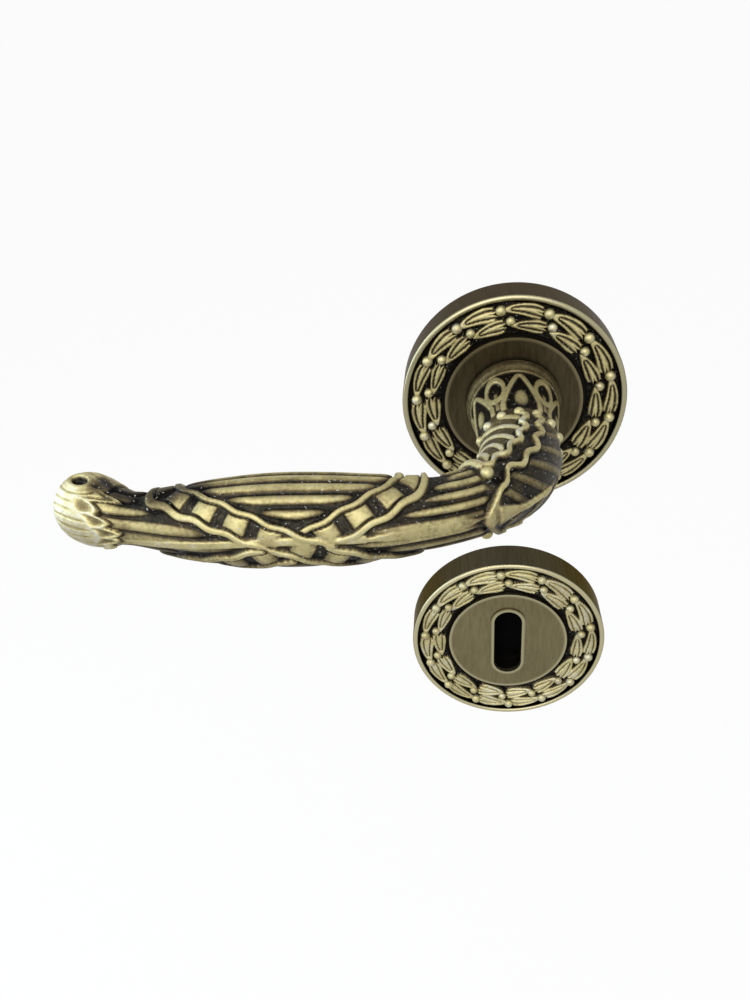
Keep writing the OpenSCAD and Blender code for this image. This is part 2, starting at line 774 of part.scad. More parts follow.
module spring_cover() {
  color("#a8abb0") on_door() difference() {
    union() {
      translate([0, 0, cover_z]) cylinder(r = pocket_r + pocket_wall, h = cover_t);
      for (side = [-1, 1]) {
        translate([0, side * cover_screw_r, cover_z]) cylinder(r = cover_screw_d / 2 + 1.2, h = cover_t);
      }
    }
    translate([0, 0, cover_z - 1]) cylinder(r = cover_hole_r, h = cover_t + 2);
    for (side = [-1, 1]) {
      translate([0, side * cover_screw_r, 0]) countersink(run);
    }
  }
}

module cover_screws() {
  color("#c9cbce") on_door() {
    for (side = [-1, 1]) {
      translate([0, side * cover_screw_r, 0]) difference() {
        union() {
          countersink(0);
          translate([0, 0, 0.8]) cylinder(d = cover_screw_d, h = cover_z - 0.8);
        }
        translate([-cover_screw_d, -0.25, cover_z + cover_t - 0.35]) cube([2 * cover_screw_d, 0.5, 1]);
      }
    }
  }
}

module thrust_washer() {
  color("#b9bcc0") on_door() tube(washer_r, shank_r + run, recess_depth - washer_t, recess_depth);
}

module through_bolts() {
  color("#c9cbce") on_door() at_fixings() difference() {
    union() {
      translate([0, 0, base_t]) cylinder(r = bolt_d * 0.85, h = bolt_d * 0.55);
      cylinder(d = bolt_neck_d, h = base_t + 0.5);
      translate([0, 0, -bolt_behind]) cylinder(d = bolt_d, h = bolt_behind + 1);
    }
    for (turn = [0, 90]) {
      rotate([0, 0, turn]) translate([-bolt_d / 2, -0.4, base_t + bolt_d * 0.25]) cube([bolt_d, 0.8, 3]);
    }
  }
}

circlip_z = recess_depth - washer_t - face_gap - circlip_t;
shank_end = circlip_z - 0.7;

module lever_handle() {
  color("#a89a5c") on_door() difference() {
    union() {
      lever_body();
      collar();
      bead_ring();
      junction_beads();
      translate([0, 0, driver_z + driver_t]) cylinder(r = shank_r, h = collar_z - driver_z);
      flatted(shank_r, shank_flats, shank_end, driver_z + driver_t);
    }
    difference() {
      translate([0, 0, circlip_z - 0.03]) cylinder(r = shank_r + 1, h = circlip_t + 0.06);
      translate([0, 0, circlip_z - 1]) cylinder(r = clip_groove_r, h = circlip_t + 2);
    }
    square_bar(spindle_af + 2 * run, shank_end - 1, spindle_in_lever + 1);
    translate([0, 0, grub_out]) rotate([90, 0, 0]) cylinder(d = grub_d + 2 * run, h = neck_d);
  }
}

module spindle() {
  color("#c4c7ca") on_door() square_bar(spindle_af, -spindle_behind, spindle_in_lever);
}

module grub_screw() {
  color("#3a3a3c") on_door() translate([0, 0, grub_out]) rotate([90, 0, 0]) difference() {
    translate([0, 0, spindle_af / 2]) cylinder(d = grub_d, h = neck_d / 2 - spindle_af / 2 - 0.8);
    translate([0, 0, neck_d / 2 - 2.8]) cylinder(d = grub_socket / cos(30), h = 4, $fn = 6);
  }
}

module driver_plate() {
  color("#8d9094") on_door() difference() {
    union() {
      translate([0, 0, driver_z]) cylinder(r = pocket_r - 0.3, h = driver_t);
      translate([0, 0, base_t + face_gap]) cylinder(r = coil_d / 2 - wire_d / 2 - 0.5, h = driver_z - base_t);
      rotate_extrude(angle = 2 * lug_half, start = lug_angle - lug_half) {
        translate([pocket_r - 1.5, driver_z]) square([pocket_wall + 1.1, driver_t]);
        translate([pocket_r + 0.2, base_t + 0.3]) square([pocket_wall - 0.6, driver_z - base_t]);
      }
    }
    flatted(bore_r, shank_flats + 2 * run, 0, rose_t);
  }
}

module circlip() {
  color("#55585c") on_door() difference() {
    tube(washer_r - 0.6, clip_groove_r + run, circlip_z, circlip_z + circlip_t);
    translate([-2.5, -2 * shank_r, -1]) cube([5, 2 * shank_r, 4]);
  }
}

module escutcheon_shell() {
  color("#5d5442") on_door() at_lock() shell(key_h / 2 + 1);
}

module escutcheon_wreath() {
  color("#b9ac6c") on_door() at_lock() rotate([0, 0, lock_turn]) wreath();
}

module escutcheon_disc() {
  color("#6a6047") on_door() at_lock() difference() {
    union() {
      translate([0, 0, bed_z]) cylinder(r = disc_r, h = disc_t);
      translate([0, 0, disc_top]) slot(key_w + 2 * lip_w, key_h + 2 * lip_w, 0, 0.4);
    }
    slot(key_w, key_h, 0, rose_t + 2);
  }
}

module escutcheon_base() {
  color("#9a9c9e") on_door() at_lock() difference() {
    union() {
      cylinder(r = inner_r - run, h = base_t);
      tube(key_h / 2 + 2.5, key_h / 2 + 1, base_t - 0.5, plate_z);
    }
    slot(key_w + 1, key_h + 1, -1, rose_t);
    at_fixings() translate([0, 0, -1]) cylinder(r = screw_neck_d / 2 + loose, h = rose_t);
  }
}

module escutcheon_screws() {
  tip = screw_d;
  color("#c9cbce") on_door() at_lock() at_fixings() difference() {
    union() {
      translate([0, 0, base_t]) cylinder(d = 2 * screw_d, h = screw_d / 2);
      cylinder(d = screw_neck_d, h = base_t + 0.5);
      translate([0, 0, tip - screw_behind]) cylinder(d = screw_d, h = screw_behind + 1 - tip);
      translate([0, 0, -screw_behind]) cylinder(r1 = 0.2, r2 = screw_d / 2, h = tip);
    }
    for (turn = [0, 90]) {
      rotate([0, 0, turn]) translate([-screw_d / 2, -0.4, base_t + 0.8]) cube([screw_d, 0.8, 3]);
    }
  }
}

rose_shell();
rose_wreath();
rose_disc();
rose_base();
neck_bush();
return_spring();
spring_cover();
cover_screws();
thrust_washer();
through_bolts();
lever_handle();
spindle();
grub_screw();
driver_plate();
circlip();
escutcheon_shell();
escutcheon_wreath();
escutcheon_disc();
escutcheon_base();
escutcheon_screws();
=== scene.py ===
"""Looks of the antique brass lever handle, with its rose and its matching key escutcheon.

The lever's cast relief and the two laurel wreaths are height fields made here at full detail. They replace
the coarser CAD nodes of the same shape. Every other node keeps its CAD mesh and gets a procedural material.

Shapes are worked out in millimetres and degrees, and mesh_object turns them into the frame's metres. The
camera, the lamps and the cards are given in metres.
"""

import math

import bpy
import numpy as np
from mathutils import Matrix, Vector

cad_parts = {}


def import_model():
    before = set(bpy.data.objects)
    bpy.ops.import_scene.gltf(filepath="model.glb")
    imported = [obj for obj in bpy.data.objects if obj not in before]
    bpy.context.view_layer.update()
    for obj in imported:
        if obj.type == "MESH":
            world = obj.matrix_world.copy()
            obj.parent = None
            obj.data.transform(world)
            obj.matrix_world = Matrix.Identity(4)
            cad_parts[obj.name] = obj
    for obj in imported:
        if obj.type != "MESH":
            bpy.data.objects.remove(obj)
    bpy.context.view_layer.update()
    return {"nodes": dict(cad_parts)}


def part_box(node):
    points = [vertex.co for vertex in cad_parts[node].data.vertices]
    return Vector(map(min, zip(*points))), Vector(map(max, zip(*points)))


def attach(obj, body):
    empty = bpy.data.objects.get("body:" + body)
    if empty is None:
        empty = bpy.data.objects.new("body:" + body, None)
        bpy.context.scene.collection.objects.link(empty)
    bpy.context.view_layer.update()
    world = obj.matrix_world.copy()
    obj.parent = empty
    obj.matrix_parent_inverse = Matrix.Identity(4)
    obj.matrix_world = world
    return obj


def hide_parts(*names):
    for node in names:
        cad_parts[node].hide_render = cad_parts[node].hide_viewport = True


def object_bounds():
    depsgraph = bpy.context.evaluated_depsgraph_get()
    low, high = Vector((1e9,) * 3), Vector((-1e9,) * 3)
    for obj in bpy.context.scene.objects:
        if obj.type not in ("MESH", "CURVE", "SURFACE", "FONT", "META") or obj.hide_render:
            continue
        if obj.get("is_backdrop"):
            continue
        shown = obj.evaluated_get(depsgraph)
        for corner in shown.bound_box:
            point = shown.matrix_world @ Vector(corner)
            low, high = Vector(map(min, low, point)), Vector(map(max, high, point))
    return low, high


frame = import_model()

MM = 0.001

# ---------------------------------------------------------------- driving sizes, in millimetres

disc_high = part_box("rose_disc")[1]
wreath_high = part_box("rose_wreath")[1]
shell_low, shell_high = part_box("rose_shell")
bush_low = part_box("neck_bush")[0]
lock_low, lock_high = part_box("escutcheon_disc")

# the plates: radii, and how far the wreath's bed and the shell's rim stand out of the door
DISC_R = disc_high.x / MM
ROSE_R = shell_high.x / MM
WREATH_OUT = wreath_high.x / MM
WREATH_IN = DISC_R + 0.8
WREATH_MID = (WREATH_IN + WREATH_OUT) / 2
BED = -wreath_high.y / MM
RIM_TOP = -shell_low.y / MM
LOCK_Z = (lock_low.z + lock_high.z) / 2 / MM

# the key slot: half its width, and how far its round ends' middles lie from its centre
SLOT = (3.75, 6.75)

# the lever: the collar's foot and the sweep's root, out of the door, then reach and radii
COLLAR = -bush_low.y / MM + 0.2
ROOT = COLLAR + 1.4
REACH = 94.0
PROJECTION = 59.5
COLLAR_R = 11.0
NECK_R = 8.4
ELBOW_R = 6.8
GRIP_R = 9.0
WAIST_R = 5.3
SCROLL_R = 6.8

# stations along the lever: shares of reach and projection, radius in the bend's plane, upright radius
STATIONS = np.array([
    [0, 0, COLLAR_R - 1.4, COLLAR_R - 1.4],
    [0, 0.055, COLLAR_R - 1.1, COLLAR_R - 1.1],
    [0, 0.15, NECK_R + 0.9, NECK_R + 0.9],
    [0, 0.29, NECK_R + 0.2, NECK_R + 0.2],
    [0, 0.43, NECK_R - 0.1, NECK_R - 0.1],
    [0.003, 0.565, NECK_R - 0.05, NECK_R],
    [0.024, 0.7, NECK_R - 0.7, NECK_R - 0.3],
    [0.066, 0.81, ELBOW_R + 0.2, ELBOW_R + 0.5],
    [0.124, 0.9, ELBOW_R - 0.2, ELBOW_R + 0.1],
    [0.2, 0.955, ELBOW_R + 0.2, ELBOW_R + 0.4],
    [0.3, 0.987, GRIP_R - 1, GRIP_R - 0.8],
    [0.405, 1, GRIP_R - 0.15, GRIP_R - 0.05],
    [0.512, 1.006, GRIP_R - 0.1, GRIP_R + 0.1],
    [0.618, 1.01, GRIP_R - 1.05, GRIP_R - 0.7],
    [0.714, 1.006, WAIST_R + 1.1, WAIST_R + 1.5],
    [0.798, 0.99, WAIST_R - 0.2, WAIST_R + 0.15],
    [0.846, 0.965, WAIST_R + 0.3, WAIST_R + 0.6],
    [0.889, 0.932, SCROLL_R - 0.4, SCROLL_R],
    [0.928, 0.885, SCROLL_R - 0.5, SCROLL_R],
    [0.952, 0.845, SCROLL_R - 1.9, SCROLL_R - 1.3],
    [0.966, 0.82, SCROLL_R - 4.6, SCROLL_R - 4.2],
])

# places of the ornament, as distances along the lever from its root
PALMETTE = 4.0
BEADS = 20.3
LEAF_BEADS = 44.4
INNER_TIP = 45.4
LEAF_TIP = 47.5
CROSSING = 79.0
SCROLL_EDGE = 113.4
EYE = 123.5
EYE_ANGLE = 80.0

# the palmette's leaves and the beads above them, all round the neck
PALMETTE_LEAVES = 5
PALMETTE_TURN = 86
NECK_BEADS = 14

# radius and wear of the beads on the neck and where the elbow's leaves part, and the wear of other pieces
NECK_BEAD = (1.1, 0.86)
LEAF_BEAD = (1.3, 0.8)
LEAF_BEAD_ANGLES = (72, -72)
BERRY_WEAR = 0.88
PLAIN_WEAR = 0.5

# the elbow's leaves: the angle of their middle line and the length of one scallop of their edge
LEAF_TURN = -3
SCALLOP = 4.9

# the ribbons: width, angle of the crossing, reach along the lever on either side of it, and how fast they
# turn round a grip of RIBBON_R
RIBBON_W = 5.0
RIBBON_TURN = -5.0
RIBBON_OUT = 26.7
RIBBON_IN = 21.2
RIBBON_CURL = 0.8
RIBBON_R = 8.4
RIBBON_DEEP = 0.5
CORD_W = 1.7
PIT_PITCH = 6.5
PIT_FROM = 2.6
KEEL_W = 2.3

# reeds: how many all round, the angle of one, and their width as a share of their pitch
GRIP_REEDS = (19, -1, 0.77)
WAIST_REEDS = (12, -13, 0.90)
ROOT_REEDS = (18, 11, 0.78)
REED_DEEP = 0.58
REED_TALL = 0.64

# lobes of the scroll's leaf edge: the angle that one lobe takes, and the middle of one of them
LOBE = 22.5
LOBE_TURN = -4.5

# leaves of the wreath: stalk and tip as (share of a group, distance off the wreath's middle), width, droop
GROUPS = 14
OUTER_LEAF = ((0.03, 1.5), (0.99, 1.95), 2.1, 0.25)
INNER_LEAF = ((-0.13, -1.4), (0.83, -1.8), 2.05, -0.15)

# berries of a group: distance from the plate's axis, degrees past the group's start, radius
BERRIES = ((22.6, 0.0, 1.25), (19.9, -5.2, 1.12))
ROSE_TURN = 15.9
LOCK_TURN = 13.3

# fineness of the height fields
RING_STEP = 0.28
SIDES = 200
WREATH_SEGMENTS = 1100
WREATH_STEPS = 44


# ---------------------------------------------------------------- small curves

def ramp(x):
    """A soft step from 0 at 0 to 1 at 1."""
    c = np.clip(x, 0, 1)
    return c * c * (3 - 2 * c)


def bump(distance, half):
    """A soft hill, 1 at 0 and 0 past half."""
    return np.where(np.abs(distance) < half, 0.5 + 0.5 * np.cos(np.pi * distance / half), 0.0)


def dome(distance, half):
    """A round hill, 1 at 0 and 0 past half."""
    return np.sqrt(np.clip(1 - (distance / half) ** 2, 0, 1))


def cord(distance, half):
    """A flat-topped strand with rounded shoulders."""
    return ramp((half - np.abs(distance)) / (0.55 * half)) * (0.86 + 0.14 * dome(distance, half))


def fold(value, period):
    """The distance to the nearest multiple of the period, with its sign."""
    return value - period * np.floor(value / period + 0.5)


def blur(field, rows, columns):
    """A box blur twice over, ends held along the lever and wrapped round it."""
    for _ in range(2):
        held = np.pad(field, ((rows, rows), (0, 0)), mode="edge")
        total = np.cumsum(np.vstack([np.zeros((1, held.shape[1])), held]), axis=0)
        field = (total[2 * rows + 1:] - total[:-2 * rows - 1]) / (2 * rows + 1)
        held = np.pad(field, ((0, 0), (columns, columns)), mode="wrap")
        total = np.cumsum(np.hstack([np.zeros((held.shape[0], 1)), held]), axis=1)
        field = (total[:, 2 * columns + 1:] - total[:, :-2 * columns - 1]) / (2 * columns + 1)
    return field


# ---------------------------------------------------------------- meshes from points

def mesh_object(name, points, faces, wear=None, smooth=True):
    """A new object from points in millimetres, with the wear of each point for its patina."""
    mesh = bpy.data.meshes.new(name)
    mesh.from_pydata([tuple(p) for p in points * MM], [], faces.tolist())
    if smooth:
        mesh.polygons.foreach_set("use_smooth", [True] * len(mesh.polygons))
    if wear is not None:
        layer = mesh.attributes.new("wear", "FLOAT", "POINT")
        layer.data.foreach_set("value", wear.astype(np.float32).ravel())
    mesh.update()
    thing = bpy.data.objects.new(name, mesh)
    bpy.context.scene.collection.objects.link(thing)
    return thing


def grid_faces(rows, columns):
    """Quads over a grid whose columns wrap round."""
    index = np.arange(rows * columns).reshape(rows, columns)
    here, after = index[:-1], index[1:]
    return np.stack([here, after, np.roll(after, -1, 1), np.roll(here, -1, 1)], -1).reshape(-1, 4)


def ring_faces(segments, columns):
    """Quads over a grid that closes both ways."""
    here = np.arange(segments * columns).reshape(segments, columns)
    after = np.roll(here, -1, 0)
    return np.stack([here, after, np.roll(after, -1, 1), np.roll(here, -1, 1)], -1).reshape(-1, 4)


def halved(quads):
    """Two triangles for each quad."""
    return np.vstack([quads[:, [0, 1, 2]], quads[:, [0, 2, 3]]])


def level_faces(height):
    """Triangles over a wrapped grid, each quad split along its more level diagonal."""
    rows, columns = height.shape
    quads = grid_faces(rows, columns)
    tall = height.ravel()
    a, b, c, d = quads.T
    flat = np.abs(tall[a] - tall[c]) < np.abs(tall[b] - tall[d])
    first = np.where(flat[:, None], quads[:, [0, 1, 2]], quads[:, [0, 1, 3]])
    second = np.where(flat[:, None], quads[:, [0, 2, 3]], quads[:, [1, 2, 3]])
    return np.vstack([first, second])


def ball(centre, radius, around=20, rings=10):
    """Points and quads of a small ball, its poles as tiny rings."""
    lat = np.linspace(0.02, math.pi - 0.02, rings)[:, None]
    lon = np.linspace(0, 2 * math.pi, around, endpoint=False)[None, :]
    x = np.sin(lat) * np.cos(lon)
    y = np.sin(lat) * np.sin(lon)
    z = np.repeat(np.cos(lat), around, axis=1)
    points = np.stack([x, y, z], -1).reshape(-1, 3) * radius + centre
    return points, halved(grid_faces(rings, around)[:, ::-1])


def gathered(parts):
    """Joins (points, faces, wear) parts into one set."""
    points, faces, wears, base = [], [], [], 0
    for p, f, w in parts:
        points.append(p)
        faces.append(f + base)
        wears.append(np.broadcast_to(w, len(p)))
        base += len(p)
    return np.vstack(points), np.vstack(faces), np.concatenate(wears)


# ---------------------------------------------------------------- the lever's path

def spline(q):
    """The stations' values at shares q of the way through them, on a smooth curve."""
    count = len(STATIONS)
    i = np.minimum(count - 2, np.floor(q).astype(int))
    u = (q - i)[:, None]
    a, b, c, d = (STATIONS[np.clip(i + k, 0, count - 1)] for k in (-1, 0, 1, 2))
    return 0.5 * (2 * b + (c - a) * u + (2 * a - 5 * b + 4 * c - d) * u * u + (3 * b - a - 3 * c + d) * u**3)


def path_rows(q):
    """Across (x), out of the door, and the two radii."""
    reach, out, radius, upright = spline(q).T
    return np.stack([-reach * REACH, ROOT + out * (PROJECTION - ROOT), radius, upright], -1)


def even_rows():
    """Rows spaced evenly along the lever, with the distance run to each."""
    q = np.linspace(0, len(STATIONS) - 1, 4000)
    rows = path_rows(q)
    run = np.r_[0, np.cumsum(np.hypot(*np.diff(rows[:, :2], axis=0).T))]
    count = int(run[-1] / RING_STEP)
    even = np.linspace(0, run[-1], count)
    return path_rows(np.interp(even, run, q)), even


def around(rows, angles, lift):
    """World points round each row. Angle 0 is the bend's outer side, 90 is up, 180 faces the door."""
    heading = np.gradient(rows[:, :2], axis=0)
    heading /= np.linalg.norm(heading, axis=1)[:, None]
    turn = np.radians(angles)[None, :]
    across = (rows[:, 2:3] + lift) * np.cos(turn)
    up = (rows[:, 3:4] + lift) * np.sin(turn)
    x = rows[:, 0:1] + heading[:, 1:2] * across
    out = rows[:, 1:2] - heading[:, 0:1] * across
    return np.stack([x, -out, up], -1)


# ---------------------------------------------------------------- the lever's relief
# s: distance from the root, t: angle round the lever, r: radius there; each gives a height in millimetres

def ribbon(s, t, r, hand):
    """Distance off the ribbon's middle line, and distance along it from the crossing."""
    tau = np.radians(fold(t - RIBBON_TURN, 360))
    reach = np.where(hand * tau > 0, RIBBON_OUT, RIBBON_IN)
    turn = np.clip(RIBBON_CURL * tau, -np.pi / 2, np.pi / 2)
    mid = reach * np.sin(turn)
    slope = RIBBON_CURL * reach * np.cos(turn) / r
    off = (s - CROSSING - hand * mid) / np.hypot(1, slope)
    along = np.sign(tau) * np.hypot(RIBBON_R * tau, mid) + hand * off * slope
    return off, along


def ribbon_relief(off, along):
    """Two wavy edge cords with pillows between them, and a deep pit after each pillow."""
    half = RIBBON_W / 2
    place = fold(along - PIT_FROM, PIT_PITCH)
    wave = 0.24 * np.cos(2 * np.pi * (place - 0.9) / PIT_PITCH)
    edge = cord(np.abs(off) - half - wave, CORD_W / 2)
    pit = 1 - ramp((np.abs(place) - 0.6) / 0.8)
    inside = ramp((half + wave - CORD_W / 2 + 0.05 - np.abs(off)) / 0.3)
    pillow = 0.56 + 0.16 * np.cos(2 * np.pi * place / PIT_PITCH + np.pi)
    bar = -0.1 + 0.25 * bump(place, 0.5) * ramp((1.5 - np.abs(off)) / 0.9)
    return -RIBBON_DEEP + np.maximum(0.92 * edge, inside * ((1 - pit) * pillow + pit * bar))


def reed_cross(t, reeds):
    """Distance off the nearest reed's middle, as a share of its half width."""
    count, turn, width = reeds
    return fold(t - turn, 360 / count) / (180 / count) / width


def reed_relief(t, gap, waist, root):
    """Reeds with rounded ends, closed off where a ribbon or a leaf crosses them."""
    cross = np.where(root, reed_cross(t, ROOT_REEDS), reed_cross(t, GRIP_REEDS))
    cross = np.where(waist, reed_cross(t, WAIST_REEDS), cross)
    end = np.clip(1 - (gap - 0.4 - 2.4 * ramp((np.abs(t) - 78) / 14) * root) / 2.6, 0, 1)
    crown = np.clip(1 - cross**2 - end**2, 0, 1) ** 0.42
    return -REED_DEEP + REED_TALL * crown


def keel_angle(s):
    """The keel wanders a little round the outer side of the grip."""
    past = s - (CROSSING - 2)
    return 5 + np.where(past > 0, -14 * (past / 24) ** 2, 0.3 * past)


def grip_relief(s, t, r, leaf_gap):
    """Reeds, with a broad one along the front on the elbow's side, the keel, and the ribbons over them."""
    off_a, along_a = ribbon(s, t, r, 1)
    off_b, along_b = ribbon(s, t, r, -1)
    edge = (RIBBON_W + CORD_W) / 2
    on_a = np.abs(off_a) < edge + 0.2
    off = np.where(on_a, off_a, off_b)
    along = np.where(on_a, along_a, along_b)
    gap = np.minimum(np.abs(off_a), np.abs(off_b)) - edge
    gap = np.minimum(gap, leaf_gap)
    root = (off_a < 0) & (off_b < 0)
    reeds = reed_relief(t, gap, off_a > 0, root)
    broad = -0.6 + 0.72 * cord(fold(t - 2, 360) * np.radians(r), 1.8 * ramp((gap + 0.4) / 3.5) + 0.01)
    reeds = np.where(root, np.maximum(reeds, broad), reeds)
    cover = 1 - ramp((np.abs(off) - edge + 0.05) / 0.3)
    keel_off = fold(t - keel_angle(s), 360) * np.radians(r)
    keel = -0.9 + 1.1 * cord(keel_off, 0.5 * KEEL_W + 0.2)
    keel = np.where((leaf_gap > 0.3) & (s > CROSSING - 12), keel, -1)
    return np.maximum((1 - cover) * reeds + cover * ribbon_relief(off, along), keel)


def zigzag(s):
    """The wave of both leaves' edges."""
    return 0.6 * np.sin(2 * np.pi * s / SCALLOP + 0.6) * ramp((INNER_TIP - s) / 3)


def leaf_edges(s, t, r):
    """Distances inside the outer leaf's edge and inside the inner leaf's edge."""
    side = np.abs(fold(t - LEAF_TURN, 360))
    to_tip = np.clip((LEAF_TIP - s) / 6.5, 0, 1)
    half = (68 + 5 * ramp((36 - s) / 8)) * to_tip**0.6
    outer = (half - side) * np.radians(r)
    outer = np.minimum(outer, (LEAF_TIP - s) * 0.85)
    back = np.abs(fold(t - 180, 360))
    inner_half = 99 * np.clip((INNER_TIP - s) / 0.5, 0, 1) ** 0.5
    inner = (inner_half - back) * np.radians(r)
    inner = np.minimum(inner, (INNER_TIP - s) * 0.55)
    wave = zigzag(s)
    return outer + wave, inner - wave


def leaf_relief(s, inside, sweep, keel, level, depth):
    """A thick rib along the leaf's edge, a groove behind it, then soft lobes with fine veins."""
    rib = cord(inside - 0.8, 0.8)
    lobe = 2 * (0.5 + 0.5 * np.cos(2 * np.pi * (s - sweep) / SCALLOP)) ** 1.7 - 1
    vein = bump(fold(s - sweep - 1.2, SCALLOP / 2), 0.35) * ramp((inside - 2.2) / 0.6)
    flank = level + depth * lobe - 1.4 * depth * vein
    behind = ramp((inside - 1.75) / 0.5)
    return np.maximum(1.05 * rib, behind * (flank + keel)) - 0.15


def elbow_relief(s, t, r):
    """The outer and the inner leaf with low ribs between them, and the distance inside either's edge."""
    outer, inner = leaf_edges(s, t, r)
    side = np.abs(fold(t - LEAF_TURN, 360))
    arc = side * np.radians(r)
    keel = 0.72 * dome(arc, 0.8 + 1.4 * ramp((s - 40) / 5)) * ramp((s - 30) / 8)
    outer_leaf = leaf_relief(s, outer, 0.9 * arc, keel, 0.22, 0.13)
    face = 0.62 * ramp((s - 43.8) / 2.4) * ramp((outer + 0.1) / 0.5) * (1 - 0.6 * ramp((-t - 10) / 14))
    outer_leaf = np.maximum(outer_leaf, face - 0.1)
    inner_leaf = leaf_relief(s, inner, 0.7 * (180 - side) * np.radians(r), 0, 0.36, 0.17)
    outer_leaf = np.where(outer > 0, outer_leaf, -9)
    inner_leaf = np.where(inner > 0, inner_leaf, -9)
    between = -0.26 + 0.1 * np.cos(2 * np.pi * (s + 0.8 * np.clip(outer, -4, 0)) / (SCALLOP / 2))
    return np.maximum(np.maximum(outer_leaf, inner_leaf), between), np.maximum(outer, inner)


def palmette_relief(s, t, r):
    """Five open leaves round the neck, an arch between each pair."""
    pitch = 360 / PALMETTE_LEAVES
    share = (s - PALMETTE) / 11.0
    leaf = fold(t - PALMETTE_TURN, pitch) * np.radians(r)
    arch = fold(t - (PALMETTE_TURN + pitch / 2), pitch) * np.radians(r)
    spread = np.radians(27) * r * np.clip(share, 0, 1) ** 0.75
    lines = cord(np.abs(leaf) - spread, 0.95) * ramp((share + 0.06) / 0.08)
    bud = np.sqrt(np.clip(1 - ((s - 13.6) / 3.6) ** 2 - (leaf / 1.7) ** 2, 0, 1))
    loop = cord((np.hypot(arch / 2.2, (s - 8.6) / 4.4) - 1) * 2.3, 0.85)
    stalk = cord(arch, 0.8) * ramp((s - 8) / 3) * ramp((17.5 - s) / 1)
    height = np.maximum.reduce([lines, 0.9 * bud, loop, 0.8 * stalk])
    live = ramp((s - 2.6) / 0.8) * ramp((18.6 - s) / 1.2)
    return live * (-0.24 + 0.54 * height)


def lobed(t):
    """1 on the lever's outer side, where the scroll's leaf has lobes, and 0 towards the door."""
    return ramp((90 - np.abs(t)) / 15)


def scroll_edge(t):
    """The leaf's scalloped edge, in lobes of one angle each; the one beside the eye is long."""
    lobe = np.abs(np.cos(np.pi * (t - LOBE_TURN) / LOBE))
    slant = 3.2 * ramp(np.abs(t + 8) / 60) + 0.9 * bump(t - 42, 22) - 3.4 * bump(t - 66, 14)
    slant = slant - 0.8 * bump(t + 18, 34)
    return SCROLL_EDGE + slant + 1.5 * lobed(t) * (1 - lobe)


def scroll_relief(s, t, r):
    """A scalloped leaf edge with a dimple in each lobe, then turns round the eye of the scroll."""
    inside = s - scroll_edge(t)
    arc = np.radians(r) * fold(t - LOBE_TURN, LOBE)
    dimple = np.sqrt(np.clip(1 - ((inside - 2.3) / 1.75) ** 2 - (arc / 1.05) ** 2, 0, 1))
    eye = np.hypot((s - EYE) / 1.7, (np.abs(t) - EYE_ANGLE) * np.radians(r))
    turns = bump(fold(eye - 3.0, 1.55), 0.3) * ramp((inside - 3.8) / 1.5) * ramp((eye - 2.2) / 0.4)
    hole = 1 - ramp((eye - 0.8) / 0.6)
    lip = bump(eye - 1.7, 0.6)
    height = 0.4 * ramp(inside / 0.4) - 0.42 * lobed(t) * dimple - 0.2 * turns
    flare = 0.45 * bump(inside - 0.5, 0.9) * ramp((-t - 20) / 40)
    cleft = 0.42 * bump(t - 92 - 3 * (s - 116), 17) * ramp((122 - s) / 2)
    return height - 1.3 * hole + 0.15 * lip + flare - cleft, inside


def lever_relief(s, t, r):
    """The whole lever's relief: palmette, elbow leaves, grip and scroll, one after the other."""
    elbow, leaf_inside = elbow_relief(s, t, r)
    grip = grip_relief(s, t, r, np.where(s < LEAF_TIP + 6, -leaf_inside, 9))
    strip = ramp((46.6 - s) / 1.2)
    body = np.where(leaf_inside > 0, elbow, strip * elbow + (1 - strip) * grip)
    start = ramp((s - BEADS) / 1.2)
    body = (1 - start) * palmette_relief(s, t, r) + start * body
    curl, curl_inside = scroll_relief(s, t, r)
    in_scroll = (s > 105) & (curl_inside > 0)
    shade = -0.35 * bump(np.clip(-curl_inside, 0, None), 1.2) * (s > 105)
    return np.where(in_scroll, curl, body + shade)


def worn(lift, rows, columns):
    """High on crests that hands polish, low in recesses that keep the dark patina."""
    near = lift - blur(lift, rows, columns)
    wide = lift - blur(lift, 4 * rows, 4 * columns)
    return np.clip(0.52 + 0.50 * near + 0.52 * wide + 0.42 * lift, 0.12, 0.80)


def stretch(run, start, rise, end, fall):
    """1 between two places along the lever, as a column."""
    return (ramp((run - start) / rise) * ramp((end - run) / fall))[:, None]


def facing(angles, middle, reach, fade):
    """1 on one side of the lever, within reach degrees of its middle."""
    return ramp((reach - np.abs(angles - middle)) / fade)


def rubbing_and_painted_light(run, angles):
    """Lighter on the front, most at the tip, as hand rub wear and painted highlight; darker on top, at the
    ribbon's hook and below, as painted shade.

    Places are distances along the lever, and angles go round it, with 0 in front.
    """
    # tip, front and waist: rub wear and painted highlight; top, hook and below: painted shade
    tip = ramp((run - 112) / 4)[:, None] * facing(angles, 0, 75, 25)
    front = stretch(run, 50, 4, 112, 4) * facing(angles, 1, 20, 10)
    waist = stretch(run, 96, 4, 114, 3) * facing(angles, 8, 60, 14)
    top = stretch(run, 94, 5, 122, 3) * bump(angles - 90, 42)
    hook = stretch(run, 101, 2, 109, 2) * bump(angles - 60, 32)
    below = stretch(run, 46, 4, 118, 5) * bump(angles + 64, 54)
    return 0.17 * tip + 0.06 * front + 0.06 * waist - 0.44 * top - 0.3 * hook - 0.34 * below


